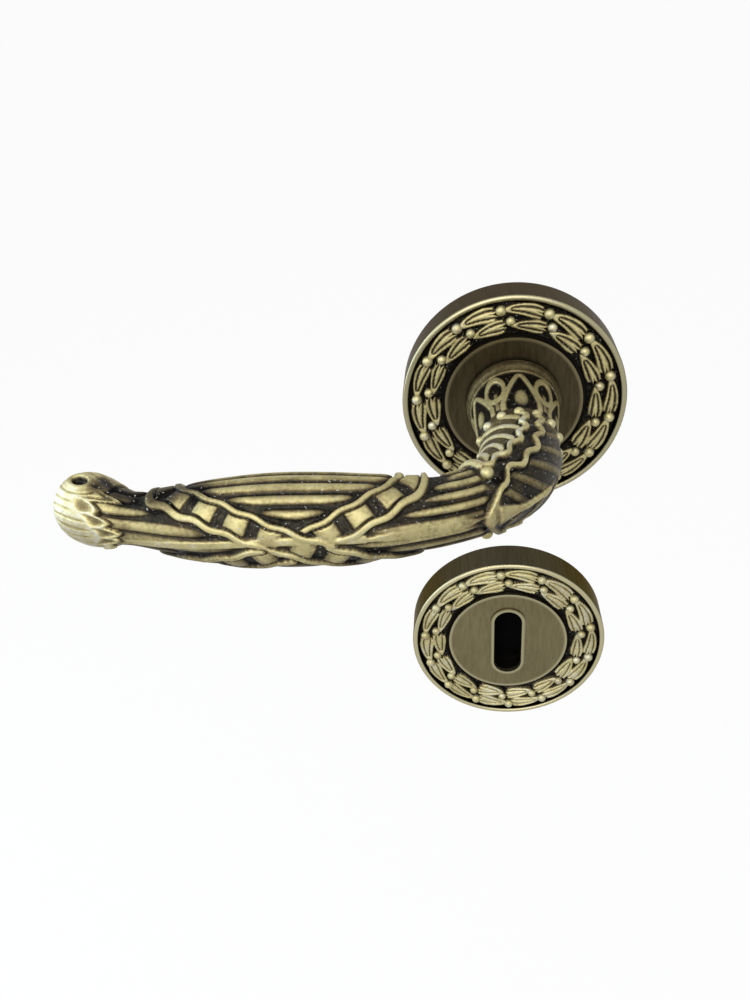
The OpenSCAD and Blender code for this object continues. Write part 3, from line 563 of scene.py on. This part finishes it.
def leaf_patina_and_painted_light(wear, lift, run, angles):
    """Outer leaf's flanks darker, part brown patina and part painted shade; painted shade under the leaf's
    end; more contrast on the inner leaf as painted highlight, and on the neck.
    """
    on_elbow = stretch(run, 22, 3, 45, 1.5)
    outer = on_elbow * facing(angles, LEAF_TURN, 72, 8) * ramp((0.45 - lift) / 0.2)
    inner = on_elbow * ramp((np.abs(angles - LEAF_TURN) - 84) / 8)
    on_neck = stretch(run, 2, 1.5, 21, 1.5)
    # painted shade on the underside near the leaf's end
    under = stretch(run, 42, 2, 48, 1) * ramp((-6 - angles) / 10) * (np.abs(angles) < 90)
    wear = wear - 0.2 * under
    # outer: brown patina and painted shade; inner: painted highlight; neck: darker recesses in the patina
    return wear - 0.19 * outer + 0.5 * inner * (wear - 0.5) + 0.8 * on_neck * np.minimum(wear - 0.66, 0)


def lever_sweep():
    """The lever's rows and angles, with the points and the relief of its skin."""
    rows, run = even_rows()
    angles = -180 + 360 * np.arange(SIDES) / SIDES
    s, t = np.meshgrid(run, angles, indexing="ij")
    r = np.repeat((rows[:, 2:3] + rows[:, 3:4]) / 2, SIDES, axis=1)
    lift = lever_relief(s, t, r)
    end = ramp((run[-1] + 0.4 - run) / 2.5)[:, None]
    lift = lift * end
    points = around(rows, angles, lift)
    return rows, run, angles, points, lift


def closed_tip(points, lift):
    """Rings that round the sweep's last ring off to a point."""
    last = points[-1]
    centre = last.mean(0)
    onward = centre - points[-6].mean(0)
    onward /= np.linalg.norm(onward)
    rings = []
    for turn in np.radians([20, 40, 60, 80, 88]):
        rings.append(centre + (last - centre) * math.cos(turn) + onward * 1.2 * math.sin(turn))
    lifts = np.repeat(lift[-1:], len(rings), 0)
    return np.concatenate([points, np.stack(rings)]), np.concatenate([lift, lifts])


def bead_parts(rows, run):
    """The ring of beads between the neck and the elbow."""
    across, out, bend_r, upright_r = rows[int(round(np.interp(BEADS, run, np.arange(len(run)))))]
    size, wear = NECK_BEAD
    sunk = 0.05
    parts = []
    for i in range(NECK_BEADS):
        turn = math.radians(15 + i * 360 / NECK_BEADS)
        x = across + (bend_r - sunk) * math.cos(turn)
        z = (upright_r - sunk) * math.sin(turn)
        parts.append((*ball(np.array([x, -out, z]), size), wear))
    return parts


def junction_beads(rows, run):
    """The two beads where the elbow's leaves part."""
    at = int(np.searchsorted(run, LEAF_BEADS))
    row = rows[at]
    heading = row[:2] - rows[at - 3][:2]
    heading = heading / np.linalg.norm(heading)
    size, wear = LEAF_BEAD
    parts = []
    for turn in np.radians(LEAF_BEAD_ANGLES):
        off = row[2] * math.cos(turn)
        x = row[0] + heading[1] * off
        out = row[1] - heading[0] * off
        parts.append((*ball(np.array([x, -out, row[3] * math.sin(turn)]), size), wear))
    return parts


def lever_grip():
    """The cast lever outside the rose, its neck, elbow, grip and scroll in one skin with its beads."""
    rows, run, angles, points, lift = lever_sweep()
    beads = bead_parts(rows, run) + junction_beads(rows, run)
    points, lift = closed_tip(points, lift)
    run = np.append(run, np.full(len(points) - len(run), run[-1]))
    # patina from the relief, with painted shade and painted highlight added along the lever and on its
    # leaves
    wear = leaf_patina_and_painted_light(worn(lift, 4, 4), lift, run, angles) + rubbing_and_painted_light(run, angles)
    sweep = (points.reshape(-1, 3), level_faces(lift), wear.ravel())
    all_points, faces, wears = gathered([sweep] + beads)
    return mesh_object("lever_grip", all_points, faces, wears)


def lathe(name, profile, wear, segments=160):
    """A ring turned about the spindle's axis from (radius, out of the door) points."""
    turn = 2 * np.pi * np.arange(segments) / segments
    radius, out = np.array(profile, float).T
    x = radius[None, :] * np.cos(turn)[:, None]
    z = radius[None, :] * np.sin(turn)[:, None]
    y = -np.tile(out, (segments, 1))
    points = np.stack([x, y, z], -1).reshape(-1, 3)
    faces = ring_faces(segments, len(profile))[:, [0, 3, 2, 1]]
    return mesh_object(name, points, faces, np.full(len(points), wear))


def lever_collar():
    """The flared foot of the neck, which stands on the disc."""
    bend = 4.3
    lip = COLLAR + 0.75
    flare = []
    for a in np.linspace(1.15, 0.1, 12):
        flare.append((COLLAR_R + 3.4 - bend * math.cos(a), COLLAR + 4.4 - bend * math.sin(a)))
    outer = [(COLLAR_R - 0.15, COLLAR), (COLLAR_R, COLLAR + 0.15), (COLLAR_R, lip)]
    outer += [p for p in flare if p[0] < COLLAR_R and p[1] > lip]
    inner = [(9.3, COLLAR + 4.1), (7.8, COLLAR + 4.1), (7.8, COLLAR)]
    return lathe("lever_collar", outer + inner, PLAIN_WEAR)


def lever_shank():
    """The turned tail of the lever inside the rose, as the CAD has it."""
    source = frame["nodes"]["lever_handle"].data
    points = np.zeros(len(source.vertices) * 3, np.float32)
    source.vertices.foreach_get("co", points)
    points = points.reshape(-1, 3) / MM
    kept = [p.vertices[:] for p in source.polygons if min(points[v][1] for v in p.vertices) > -COLLAR - 0.01]
    used = sorted({v for face in kept for v in face})
    place = {v: i for i, v in enumerate(used)}
    faces = np.array([[place[v] for v in face] for face in kept])
    return mesh_object("lever_shank", points[used], faces, np.full(len(used), PLAIN_WEAR), smooth=False)


# ---------------------------------------------------------------- laurel wreath

def leaf_width(share):
    """Pointed at 1, widest near the middle, a little narrower at the stalk."""
    return np.minimum(1, 1.2 * np.clip(1 - share, 0, 1) ** 0.45) * (0.86 + 0.14 * ramp(share / 0.35))


def drift(angle):
    """How far the groups stand off even spacing, in degrees, so that they don't repeat exactly."""
    return 3.0 + 4.0 * np.sin(np.radians(angle - 65))


def leaf_field(u, v, start, end, width, droop):
    """Height share and grooves of a leaf with an inner blade.

    u runs along the group and v across the wreath. start and end are the leaf's stalk and tip in both.
    """
    (u0, v0), (u1, v1) = start, end
    share = (u - u0) / (u1 - u0)
    middle = v0 + (v1 - v0) * share + droop * share * (1 - share) * 4
    across = np.abs(v - middle)
    half = width * leaf_width(share)
    core = 0.42 * width * leaf_width(share / 0.8)
    frayed = 0.05 + 0.05 * np.cos(3.2 * np.pi * (v - middle) / width)
    mask = ramp((share - frayed) * 26) * ramp((half - across) / 0.32)
    groove = bump(across - core, 0.28) * ramp((0.82 - share) / 0.05)
    groove = np.maximum(groove, 0.7 * bump(across, 0.2) * ramp((0.3 - share) / 0.2))
    groove = np.maximum(groove, 0.3 * bump(across - core, 0.75) * ramp((0.9 - share) / 0.2))
    groove = np.maximum(groove, 0.35 * (1 - ramp((half - across) / 0.75)))
    crown = 0.84 + 0.16 * dome(across, np.maximum(half, 0.05) * 1.05)
    return mask * crown, mask * groove


def wreath_field(radius, angle, turn, polish):
    """Height over the bed and wear, for one plate's wreath; polish brightens its crests and its grooves."""
    group = (angle - turn - drift(angle)) / (360 / GROUPS)
    u = group - np.floor(group)
    v = radius - WREATH_MID
    height = np.zeros_like(u)
    cuts = np.zeros_like(u)
    for shift in (-1, 0, 1):
        own = np.sin(2 * np.pi * 5 * (np.floor(group) - shift) / GROUPS)
        for start, end, width, droop in OUTER_LEAF, INNER_LEAF:
            leaf, groove = leaf_field(u + shift, v + 0.16 * own, start, end, width * (1 + 0.07 * own), droop)
            cuts = np.where(leaf > height, groove, cuts)
            height = np.maximum(height, leaf)
    crown = 1.5 - 0.4 * (v / 3.7) ** 2
    lift = np.maximum(0.2, height * crown) - 0.6 * cuts * height
    wear = np.clip(0.25 * polish + (0.87 + 0.8 * polish) * height - (0.85 - 1.3 * polish) * cuts, 0, 0.9)
    return lift, wear


def berry_angle(k, turn):
    """Where group k starts. Its drift depends on that angle itself, so a few rounds settle it."""
    even = turn + k * 360 / GROUPS
    angle = even
    for _ in range(4):
        angle = even + drift(angle)
    return angle


def wreath_berries(turn, centre_z):
    """A pair of berries at the start of each group."""
    parts = []
    for k in range(GROUPS):
        for radius, past, size in BERRIES:
            a = math.radians(berry_angle(k, turn) + past)
            centre = np.array([radius * math.cos(a), -(BED + 1.0), radius * math.sin(a) + centre_z])
            parts.append((*ball(centre, size, around=22, rings=12), BERRY_WEAR))
    return parts


def framed(field, edge):
    """The field with one more column on either side: its own edges again, times edge."""
    return np.hstack([edge * field[:, :1], field, edge * field[:, -1:]])


def wreath_piece(name, turn, centre_z, polish):
    """One plate's ring of leaves and berries, with an upright wall down to the bed on both sides."""
    angle = 360 * np.arange(WREATH_SEGMENTS) / WREATH_SEGMENTS
    radius = np.linspace(WREATH_IN, WREATH_OUT, WREATH_STEPS)
    a, r = np.meshgrid(angle, radius, indexing="ij")
    lift, wear = wreath_field(r, a, turn, polish)
    a, r = np.radians(framed(a, 1)), framed(r, 1)
    lift, wear = framed(lift, 0), framed(wear, 0)
    points = np.stack([r * np.cos(a), -(BED + lift), r * np.sin(a) + centre_z], -1)
    faces = halved(ring_faces(WREATH_SEGMENTS, WREATH_STEPS + 2))
    ring = (points.reshape(-1, 3), faces, wear.ravel())
    all_points, all_faces, wears = gathered([ring] + wreath_berries(turn, centre_z))
    return mesh_object(name, all_points, all_faces, wears)


# ---------------------------------------------------------------- materials

class Nodes:
    """Short calls for building one material's nodes."""

    def __init__(self, name):
        self.material = bpy.data.materials.new(name)
        self.material.use_nodes = True
        self.tree = self.material.node_tree
        self.shader = self.tree.nodes["Principled BSDF"]
        self.output = self.tree.nodes["Material Output"]

    def add(self, kind, **values):
        node = self.tree.nodes.new(kind)
        for key, value in values.items():
            setattr(node, key, value)
        return node

    def link(self, start, end):
        self.tree.links.new(start, end)

    def math(self, operation, a, b=0.0, clamp=False):
        """A math node of two numbers or sockets."""
        node = self.add("ShaderNodeMath", operation=operation, use_clamp=clamp)
        for socket, value in zip(node.inputs, (a, b)):
            if isinstance(value, (int, float)):
                socket.default_value = value
            else:
                self.link(value, socket)
        return node.outputs[0]

    def over(self, value, middle, gain, clamp=False):
        """How far a value stands over its middle, times a gain."""
        return self.math("MULTIPLY", self.math("SUBTRACT", value, middle), gain, clamp)

    def length(self, across, up):
        """The length of two sides at right angles."""
        squares = self.math("ADD", self.math("POWER", across, 2.0), self.math("POWER", up, 2.0))
        return self.math("SQRT", squares)

    def axes(self):
        """The object's own coordinates, in metres, as X, Y and Z."""
        split = self.add("ShaderNodeSeparateXYZ")
        self.link(self.add("ShaderNodeTexCoord").outputs["Object"], split.inputs[0])
        return split.outputs

    def place(self, scale):
        """The object's own coordinates, in metres, times a scale."""
        coordinates = self.add("ShaderNodeTexCoord")
        mapping = self.add("ShaderNodeMapping")
        mapping.inputs["Scale"].default_value = scale
        self.link(coordinates.outputs["Object"], mapping.inputs["Vector"])
        return mapping.outputs["Vector"]

    def noise(self, scale, detail=4.0, rough=0.55, stretch=(1, 1, 1)):
        node = self.add("ShaderNodeTexNoise")
        node.inputs["Scale"].default_value = scale
        node.inputs["Detail"].default_value = detail
        node.inputs["Roughness"].default_value = rough
        self.link(self.place(stretch), node.inputs["Vector"])
        return node.outputs[0]

    def colours(self, value, stops):
        """A colour ramp of (place, colour) stops."""
        node = self.add("ShaderNodeValToRGB")
        elements = node.color_ramp.elements
        while len(elements) < len(stops):
            elements.new(0.5)
        for element, (at, colour) in zip(elements, stops):
            element.position = at
            element.color = (*colour, 1)
        self.link(value, node.inputs["Fac"])
        return node.outputs["Color"]

    def spread(self, value, low, high):
        """The value's 0 to 1 as low to high."""
        node = self.add("ShaderNodeMapRange")
        node.inputs["To Min"].default_value = low
        node.inputs["To Max"].default_value = high
        self.link(value, node.inputs["Value"])
        return node.outputs["Result"]

    def bump(self, height, strength, distance):
        node = self.add("ShaderNodeBump")
        node.inputs["Strength"].default_value = strength
        node.inputs["Distance"].default_value = distance
        self.link(height, node.inputs["Height"])
        self.link(node.outputs["Normal"], self.shader.inputs["Normal"])

    def use(self, socket, value):
        """Sets a socket of the shader to a number or a colour, or links it."""
        if isinstance(value, (int, float)):
            self.shader.inputs[socket].default_value = value
        elif isinstance(value, tuple):
            self.shader.inputs[socket].default_value = (*value, 1)
        else:
            self.link(value, self.shader.inputs[socket])


# colours of the patina by wear, from black recesses over brown to pale brass worn by rubbing; on the lever
# the wear also holds painted shade and painted highlight
PATINA = [
    (0.0, (0.007, 0.006, 0.005)),
    (0.16, (0.027, 0.025, 0.020)),
    (0.32, (0.058, 0.046, 0.026)),
    (0.48, (0.125, 0.100, 0.049)),
    (0.64, (0.25, 0.215, 0.108)),
    (0.78, (0.42, 0.372, 0.185)),
    (0.88, (0.47, 0.425, 0.230)),
    (1.0, (0.55, 0.545, 0.450)),
]
DUST = (0.33, 0.34, 0.32)
STAIN = (0.17, 0.115, 0.072)
GROOVE_BLACK = (0.008, 0.007, 0.006)

# the two shells: dark and pale of the brushed wall, its tint at a grazing angle, and the pale rim, part rub
# wear and part painted highlight
WALL = ((0.052, 0.045, 0.031), (0.074, 0.066, 0.047))
ROSE_SHELL = (*WALL, (0.52, 0.48, 0.44), (0.35, 0.322, 0.20))
LOCK_SHELL = (*WALL, (0.50, 0.44, 0.33), (0.46, 0.42, 0.26))

# the two discs: dark and pale of the brushed face, the rose's darker as painted dark reflection, and the
# painted highlight on the edge
ROSE_FACE = ((0.032, 0.025, 0.013), (0.066, 0.053, 0.030), (0.15, 0.125, 0.07))
LOCK_FACE = ((0.135, 0.113, 0.057), (0.20, 0.172, 0.095), (0.34, 0.31, 0.19))


def antique_brass():
    """Cast brass, darkened, then worn back by rubbing: the wear of each point runs from black recess to pale
    crest, and on the lever also holds painted shade and painted highlight.
    """
    n = Nodes("antique_brass")
    # on the lever, this wear also carries painted shade and painted highlight
    wear = n.add("ShaderNodeAttribute", attribute_name="wear").outputs["Fac"]
    cloud = n.noise(260, 5)
    grain = n.noise(1500, 4)
    mixed = n.math("ADD", wear, n.over(cloud, 0.5, 0.4))
    mixed = n.math("ADD", mixed, n.over(grain, 0.5, 0.4), clamp=True)
    stained = n.over(n.noise(140, 3), 0.47, 2.6, clamp=True)
    stained = n.math("MULTIPLY", n.math("MULTIPLY", stained, mixed), 0.6)
    brass = blended(n, stained, n.colours(mixed, PATINA), STAIN)
    specks = n.over(n.noise(1700, 2), 0.66, 14.0, clamp=True)
    n.use("Base Color", blended(n, specks, brass, DUST))
    n.use("Metallic", 1.0)
    n.use("Roughness", n.spread(mixed, 0.5, 0.56))
    n.bump(n.noise(2200, 4), 0.4, 0.00008)
    return n.material


def plate_places(n, centre_z):
    """Distance from a plate's axis and distance out of the door, both in metres."""
    axes = n.axes()
    up = n.math("SUBTRACT", axes["Z"], centre_z * MM)
    radius = n.length(axes["X"], up)
    return radius, n.math("MULTIPLY", axes["Y"], -1.0)


def above(n, value, start, width):
    """0 below start millimetres, 1 past start + width."""
    return n.math("DIVIDE", n.math("SUBTRACT", value, start * MM), width * MM, clamp=True)


def blended(n, fac, first, second):
    """The first colour where fac is 0, the second where it is 1."""
    mix = n.add("ShaderNodeMix", data_type="RGBA")
    n.link(fac, mix.inputs["Factor"])
    for socket, value in ((mix.inputs[6], first), (mix.inputs[7], second)):
        if isinstance(value, tuple):
            socket.default_value = (*value, 1)
        else:
            n.link(value, socket)
    return mix.outputs[2]


def shell_bronze(name, centre_z, dark, pale, grazing, rim_wear_and_highlight):
    """Brushed wall, pale rim as rub wear and painted highlight, black groove inside the rim."""
    n = Nodes(name)
    lines = n.noise(1.0, detail=3, rough=0.6, stretch=(1500, 90, 1500))
    wall = n.colours(lines, [(0.30, dark), (0.70, pale)])
    radius, out = plate_places(n, centre_z)
    rim = above(n, out, RIM_TOP - 0.55, 0.3)
    groove = n.math("SUBTRACT", 1.0, above(n, radius, ROSE_R - 1.35, 0.2))
    # the rim's pale brass: rub wear and painted highlight
    colour = blended(n, rim, wall, rim_wear_and_highlight)
    n.use("Base Color", blended(n, groove, colour, GROOVE_BLACK))
    n.use("Metallic", 1.0)
    n.use("Specular Tint", grazing)
    n.use("Roughness", n.spread(lines, 0.3, 0.42))
    n.bump(lines, 0.12, 0.00005)
    return n.material


def slot_lip(n, centre_z, half, reach):
    """1 on the lip round the slot, from its edge to half a millimetre out, then fading."""
    axes = n.axes()
    up = n.math("ABSOLUTE", n.math("SUBTRACT", axes["Z"], centre_z * MM))
    past = n.math("MAXIMUM", n.math("SUBTRACT", up, reach * MM), 0.0)
    away = n.length(axes["X"], past)
    return n.math("SUBTRACT", 1.0, above(n, away, half + 0.5, 0.4))


def disc_bronze(name, centre_z, dark, pale, edge, slot=(0, 0)):
    """Brushed face with a painted highlight on its edge and on the lip round its slot."""
    n = Nodes(name)
    lines = n.noise(1.0, detail=3, rough=0.6, stretch=(1500, 60, 260))
    slow = n.noise(45, 3)
    tone = n.math("ADD", n.math("MULTIPLY", lines, 0.65), n.math("MULTIPLY", slow, 0.35))
    radius, _ = plate_places(n, centre_z)
    # painted highlight on the outer edge and round the slot's lip
    painted_edge_highlight = above(n, radius, DISC_R - 0.9, 0.5)
    if slot[0]:
        painted_edge_highlight = n.math("MAXIMUM", painted_edge_highlight, slot_lip(n, centre_z, *slot))
    n.use("Base Color", blended(n, painted_edge_highlight, n.colours(tone, [(0.30, dark), (0.70, pale)]), edge))
    n.use("Metallic", 1.0)
    n.use("Roughness", n.spread(lines, 0.3, 0.45))
    n.bump(lines, 0.12, 0.00005)
    return n.material


def cast_zinc():
    """Raw die-cast zinc with a pitted skin."""
    n = Nodes("zinc_casting")
    pits = n.noise(900, 4)
    n.use("Base Color", n.colours(pits, [(0.3, (0.30, 0.30, 0.31)), (0.7, (0.46, 0.46, 0.47))]))
    n.use("Metallic", 0.9)
    n.use("Roughness", n.spread(pits, 0.42, 0.62))
    n.bump(pits, 0.25, 0.0001)
    return n.material


def plated_zinc():
    """Smooth, dull grey plating."""
    n = Nodes("zinc_plate")
    cloud = n.noise(180, 4)
    n.use("Base Color", n.colours(cloud, [(0.3, (0.28, 0.285, 0.275)), (0.7, (0.43, 0.43, 0.39))]))
    n.use("Metallic", 1.0)
    n.use("Roughness", n.spread(cloud, 0.22, 0.36))
    n.bump(n.noise(1500, 2), 0.1, 0.00004)
    return n.material


def spring_steel():
    """Dark drawn wire."""
    n = Nodes("spring_steel")
    drawn = n.noise(700, 3)
    n.use("Base Color", n.colours(drawn, [(0.3, (0.16, 0.165, 0.17)), (0.7, (0.27, 0.275, 0.28))]))
    n.use("Metallic", 1.0)
    n.use("Roughness", n.spread(drawn, 0.25, 0.4))
    return n.material


def black_steel():
    """Oiled black steel."""
    n = Nodes("black_steel")
    oiled = n.noise(500, 4)
    n.use("Base Color", n.colours(oiled, [(0.3, (0.018, 0.018, 0.020)), (0.7, (0.045, 0.045, 0.050))]))
    n.use("Metallic", 0.8)
    n.use("Roughness", n.spread(oiled, 0.35, 0.55))
    n.bump(oiled, 0.1, 0.00005)
    return n.material


def keyhole_shade_black():
    """Matt black as painted shade, for what lies in the dark behind the key slot."""
    n = Nodes("keyhole_shade_black")
    soot = n.noise(400, 3)
    n.use("Base Color", n.colours(soot, [(0.3, (0.002, 0.002, 0.002)), (0.7, (0.006, 0.005, 0.004))]))
    n.use("Specular IOR Level", 0.05)
    n.use("Roughness", 0.95)
    return n.material


def nylon():
    """Off-white bearing nylon."""
    n = Nodes("nylon")
    flow = n.noise(300, 3)
    n.use("Base Color", n.colours(flow, [(0.3, (0.63, 0.61, 0.54)), (0.7, (0.72, 0.70, 0.63))]))
    n.use("Roughness", n.spread(flow, 0.4, 0.55))
    return n.material


def dress(names, material):
    """Gives CAD pieces a material, their meshes as they are."""
    for name in names:
        for slot in frame["nodes"][name].material_slots:
            slot.link = "OBJECT"
            slot.material = material


# ---------------------------------------------------------------- the scene

# where the camera stands in metres, which way it looks, its upward side, and its lens in millimetres
CAMERA_AT = (-0.012931, -0.204694, 0.091097)
CAMERA_LOOK = (-0.092, 0.854, -0.512)
CAMERA_UP = (0.010, 0.515, 0.857)
CAMERA_LENS = 32.711

# metres: what the lamps are turned to, half the floor's width, and its distance below the part
LAMPS_AIM = (-0.03, -0.02, -0.02)
FLOOR_HALF = 40.0
FLOOR_BELOW = 0.25

# metres: the black card behind the keyhole, painted shade for the dark inside the lock, half its width and
# height, and how far inside the door it is
LOCK_DARK_W = 0.0065
LOCK_DARK_H = 0.014
LOCK_DARK_IN = 0.0004


def aim(thing, at):
    """Turns a lamp towards a point."""
    direction = Vector(at) - thing.location
    thing.rotation_euler = direction.to_track_quat("-Z", "Y").to_euler()


def soft_light(name, place, size, power, colour):
    """A round area lamp."""
    light = bpy.data.lights.new(name, "AREA")
    light.shape = "DISK"
    light.size = size
    light.energy = power
    light.color = colour
    thing = bpy.data.objects.new(name, light)
    thing.location = place
    bpy.context.scene.collection.objects.link(thing)
    aim(thing, LAMPS_AIM)


def camera():
    """The camera that took the photograph, as fitted to it."""
    data = bpy.data.cameras.new("camera")
    data.sensor_width = 36
    data.lens = CAMERA_LENS
    data.clip_start = 0.01
    thing = bpy.data.objects.new("camera", data)
    forward = Vector(CAMERA_LOOK).normalized()
    right = forward.cross(Vector(CAMERA_UP)).normalized()
    up = right.cross(forward)
    rows = [(right[k], up[k], -forward[k], CAMERA_AT[k]) for k in range(3)]
    thing.matrix_world = Matrix((*rows, (0, 0, 0, 1)))
    bpy.context.scene.collection.objects.link(thing)
    bpy.context.scene.camera = thing


def seen(tree):
    """1 for rays that show the background itself: to the camera, in metal and through glass."""
    path = tree.nodes.new("ShaderNodeLightPath")
    total = path.outputs["Is Camera Ray"]
    for name in ("Is Glossy Ray", "Is Transmission Ray"):
        either = tree.nodes.new("ShaderNodeMath")
        either.operation = "MAXIMUM"
        tree.links.new(total, either.inputs[0])
        tree.links.new(path.outputs[name], either.inputs[1])
        total = either.outputs[0]
    return total


def paper_white():
    """White where it is seen, with a little of the object's own shadow left in it."""
    n = Nodes("paper_white")
    fibre = n.noise(60, 3)
    n.use("Base Color", n.colours(fibre, [(0.3, (0.86, 0.86, 0.86)), (0.7, (0.9, 0.9, 0.9))]))
    n.use("Roughness", 0.9)
    glow = n.add("ShaderNodeEmission")
    glow.inputs["Color"].default_value = (1, 1, 1, 1)
    glow.inputs["Strength"].default_value = 1.0
    mix = n.add("ShaderNodeMixShader")
    n.link(n.math("MULTIPLY", seen(n.tree), 0.94), mix.inputs["Fac"])
    n.link(n.shader.outputs[0], mix.inputs[1])
    n.link(glow.outputs[0], mix.inputs[2])
    n.link(mix.outputs[0], n.output.inputs["Surface"])
    return n.material


def shade_card_black():
    """Matt black, as painted shade."""
    n = Nodes("shade_card_black")
    felt = n.noise(90, 3)
    n.use("Base Color", n.colours(felt, [(0.3, (0.002, 0.002, 0.002)), (0.7, (0.005, 0.005, 0.005))]))
    n.use("Specular IOR Level", 0.05)
    n.use("Roughness", 0.95)
    return n.material


def card(name, corners, material):
    """A flat four-cornered studio piece, given in metres."""
    thing = mesh_object(name, np.array(corners, float) / MM, np.array([[0, 1, 2, 3]]), smooth=False)
    thing.data.materials.append(material)
    thing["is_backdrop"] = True


def floor():
    """A wide white floor below the part."""
    half = FLOOR_HALF
    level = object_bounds()[0][2] - FLOOR_BELOW
    corners = [[-half, -half, level], [half, -half, level], [half, half, level], [-half, half, level]]
    card("floor", corners, paper_white())


def keyhole_shade_card():
    """Painted shade: a black card for the dark of the lock case behind the keyhole, just inside the door."""
    half, y = LOCK_DARK_W, LOCK_DARK_IN
    low = LOCK_Z * MM - LOCK_DARK_H
    high = LOCK_Z * MM + LOCK_DARK_H
    card("keyhole_shade_card", [[-half, y, low], [half, y, low], [half, y, high], [-half, y, high]], shade_card_black())


def world():
    """White to the camera and in reflections, and a plain grey sky for the rest of the light."""
    scene_world = bpy.data.worlds.new("studio")
    bpy.context.scene.world = scene_world
    scene_world.use_nodes = True
    tree = scene_world.node_tree
    sky = tree.nodes["Background"]
    sky.inputs["Color"].default_value = (0.93, 0.96, 1.0, 1)
    sky.inputs["Strength"].default_value = 0.42
    white = tree.nodes.new("ShaderNodeBackground")
    white.inputs["Color"].default_value = (1, 1, 1, 1)
    white.inputs["Strength"].default_value = 1.0
    mix = tree.nodes.new("ShaderNodeMixShader")
    tree.links.new(seen(tree), mix.inputs["Fac"])
    tree.links.new(sky.outputs[0], mix.inputs[1])
    tree.links.new(white.outputs[0], mix.inputs[2])
    tree.links.new(mix.outputs[0], tree.nodes["World Output"].inputs["Surface"])


def lights():
    """A large warm key lamp from the upper left, and a cooler one at the left."""
    soft_light("key", place=(-0.15, -0.60, 0.42), size=0.9, power=5.5, colour=(1.0, 0.98, 0.93))
    soft_light("side", place=(-0.65, -0.02, 0.12), size=0.6, power=3.0, colour=(0.70, 0.85, 1.0))


def lever(brass):
    """The lever's own pieces in place of its CAD node."""
    for piece in (lever_grip(), lever_collar(), lever_shank()):
        piece.data.materials.append(brass)
        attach(piece, "lever")
        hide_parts("lever_handle")


def wreaths(brass):
    """The two laurel wreaths in place of theirs."""
    rose = wreath_piece("rose_laurel", ROSE_TURN, 0.0, 0.0)
    lock = wreath_piece("escutcheon_laurel", LOCK_TURN, LOCK_Z, 0.16)
    for piece, node in ((rose, "rose_wreath"), (lock, "escutcheon_wreath")):
        piece.data.materials.append(brass)
        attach(piece, "door_furniture")
        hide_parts(node)


def plates():
    """The metals of the shells and discs that the photograph shows."""
    dress(["rose_shell"], shell_bronze("rose_bronze", 0.0, *ROSE_SHELL))
    dress(["escutcheon_shell"], shell_bronze("lock_bronze", LOCK_Z, *LOCK_SHELL))
    dress(["rose_disc"], disc_bronze("rose_face", 0.0, *ROSE_FACE))
    dress(["escutcheon_disc"], disc_bronze("lock_face", LOCK_Z, *LOCK_FACE, SLOT))


def hidden_pieces():
    """The materials of what lies inside the plates and behind the door's face."""
    dress(["rose_base"], cast_zinc())
    dress(["spindle", "spring_cover", "cover_screws", "through_bolts", "escutcheon_screws", "thrust_washer",
           "driver_plate"], plated_zinc())
    dress(["return_spring"], spring_steel())
    dress(["circlip", "grub_screw"], black_steel())
    # painted shade: the escutcheon's base is black as it lies in the dark behind the key slot
    dress(["escutcheon_base"], keyhole_shade_black())
    dress(["neck_bush"], nylon())


brass = antique_brass()
lever(brass)
wreaths(brass)
plates()
hidden_pieces()
floor()
keyhole_shade_card()
world()
lights()
camera()
bpy.context.scene.view_settings.view_transform = "Standard"
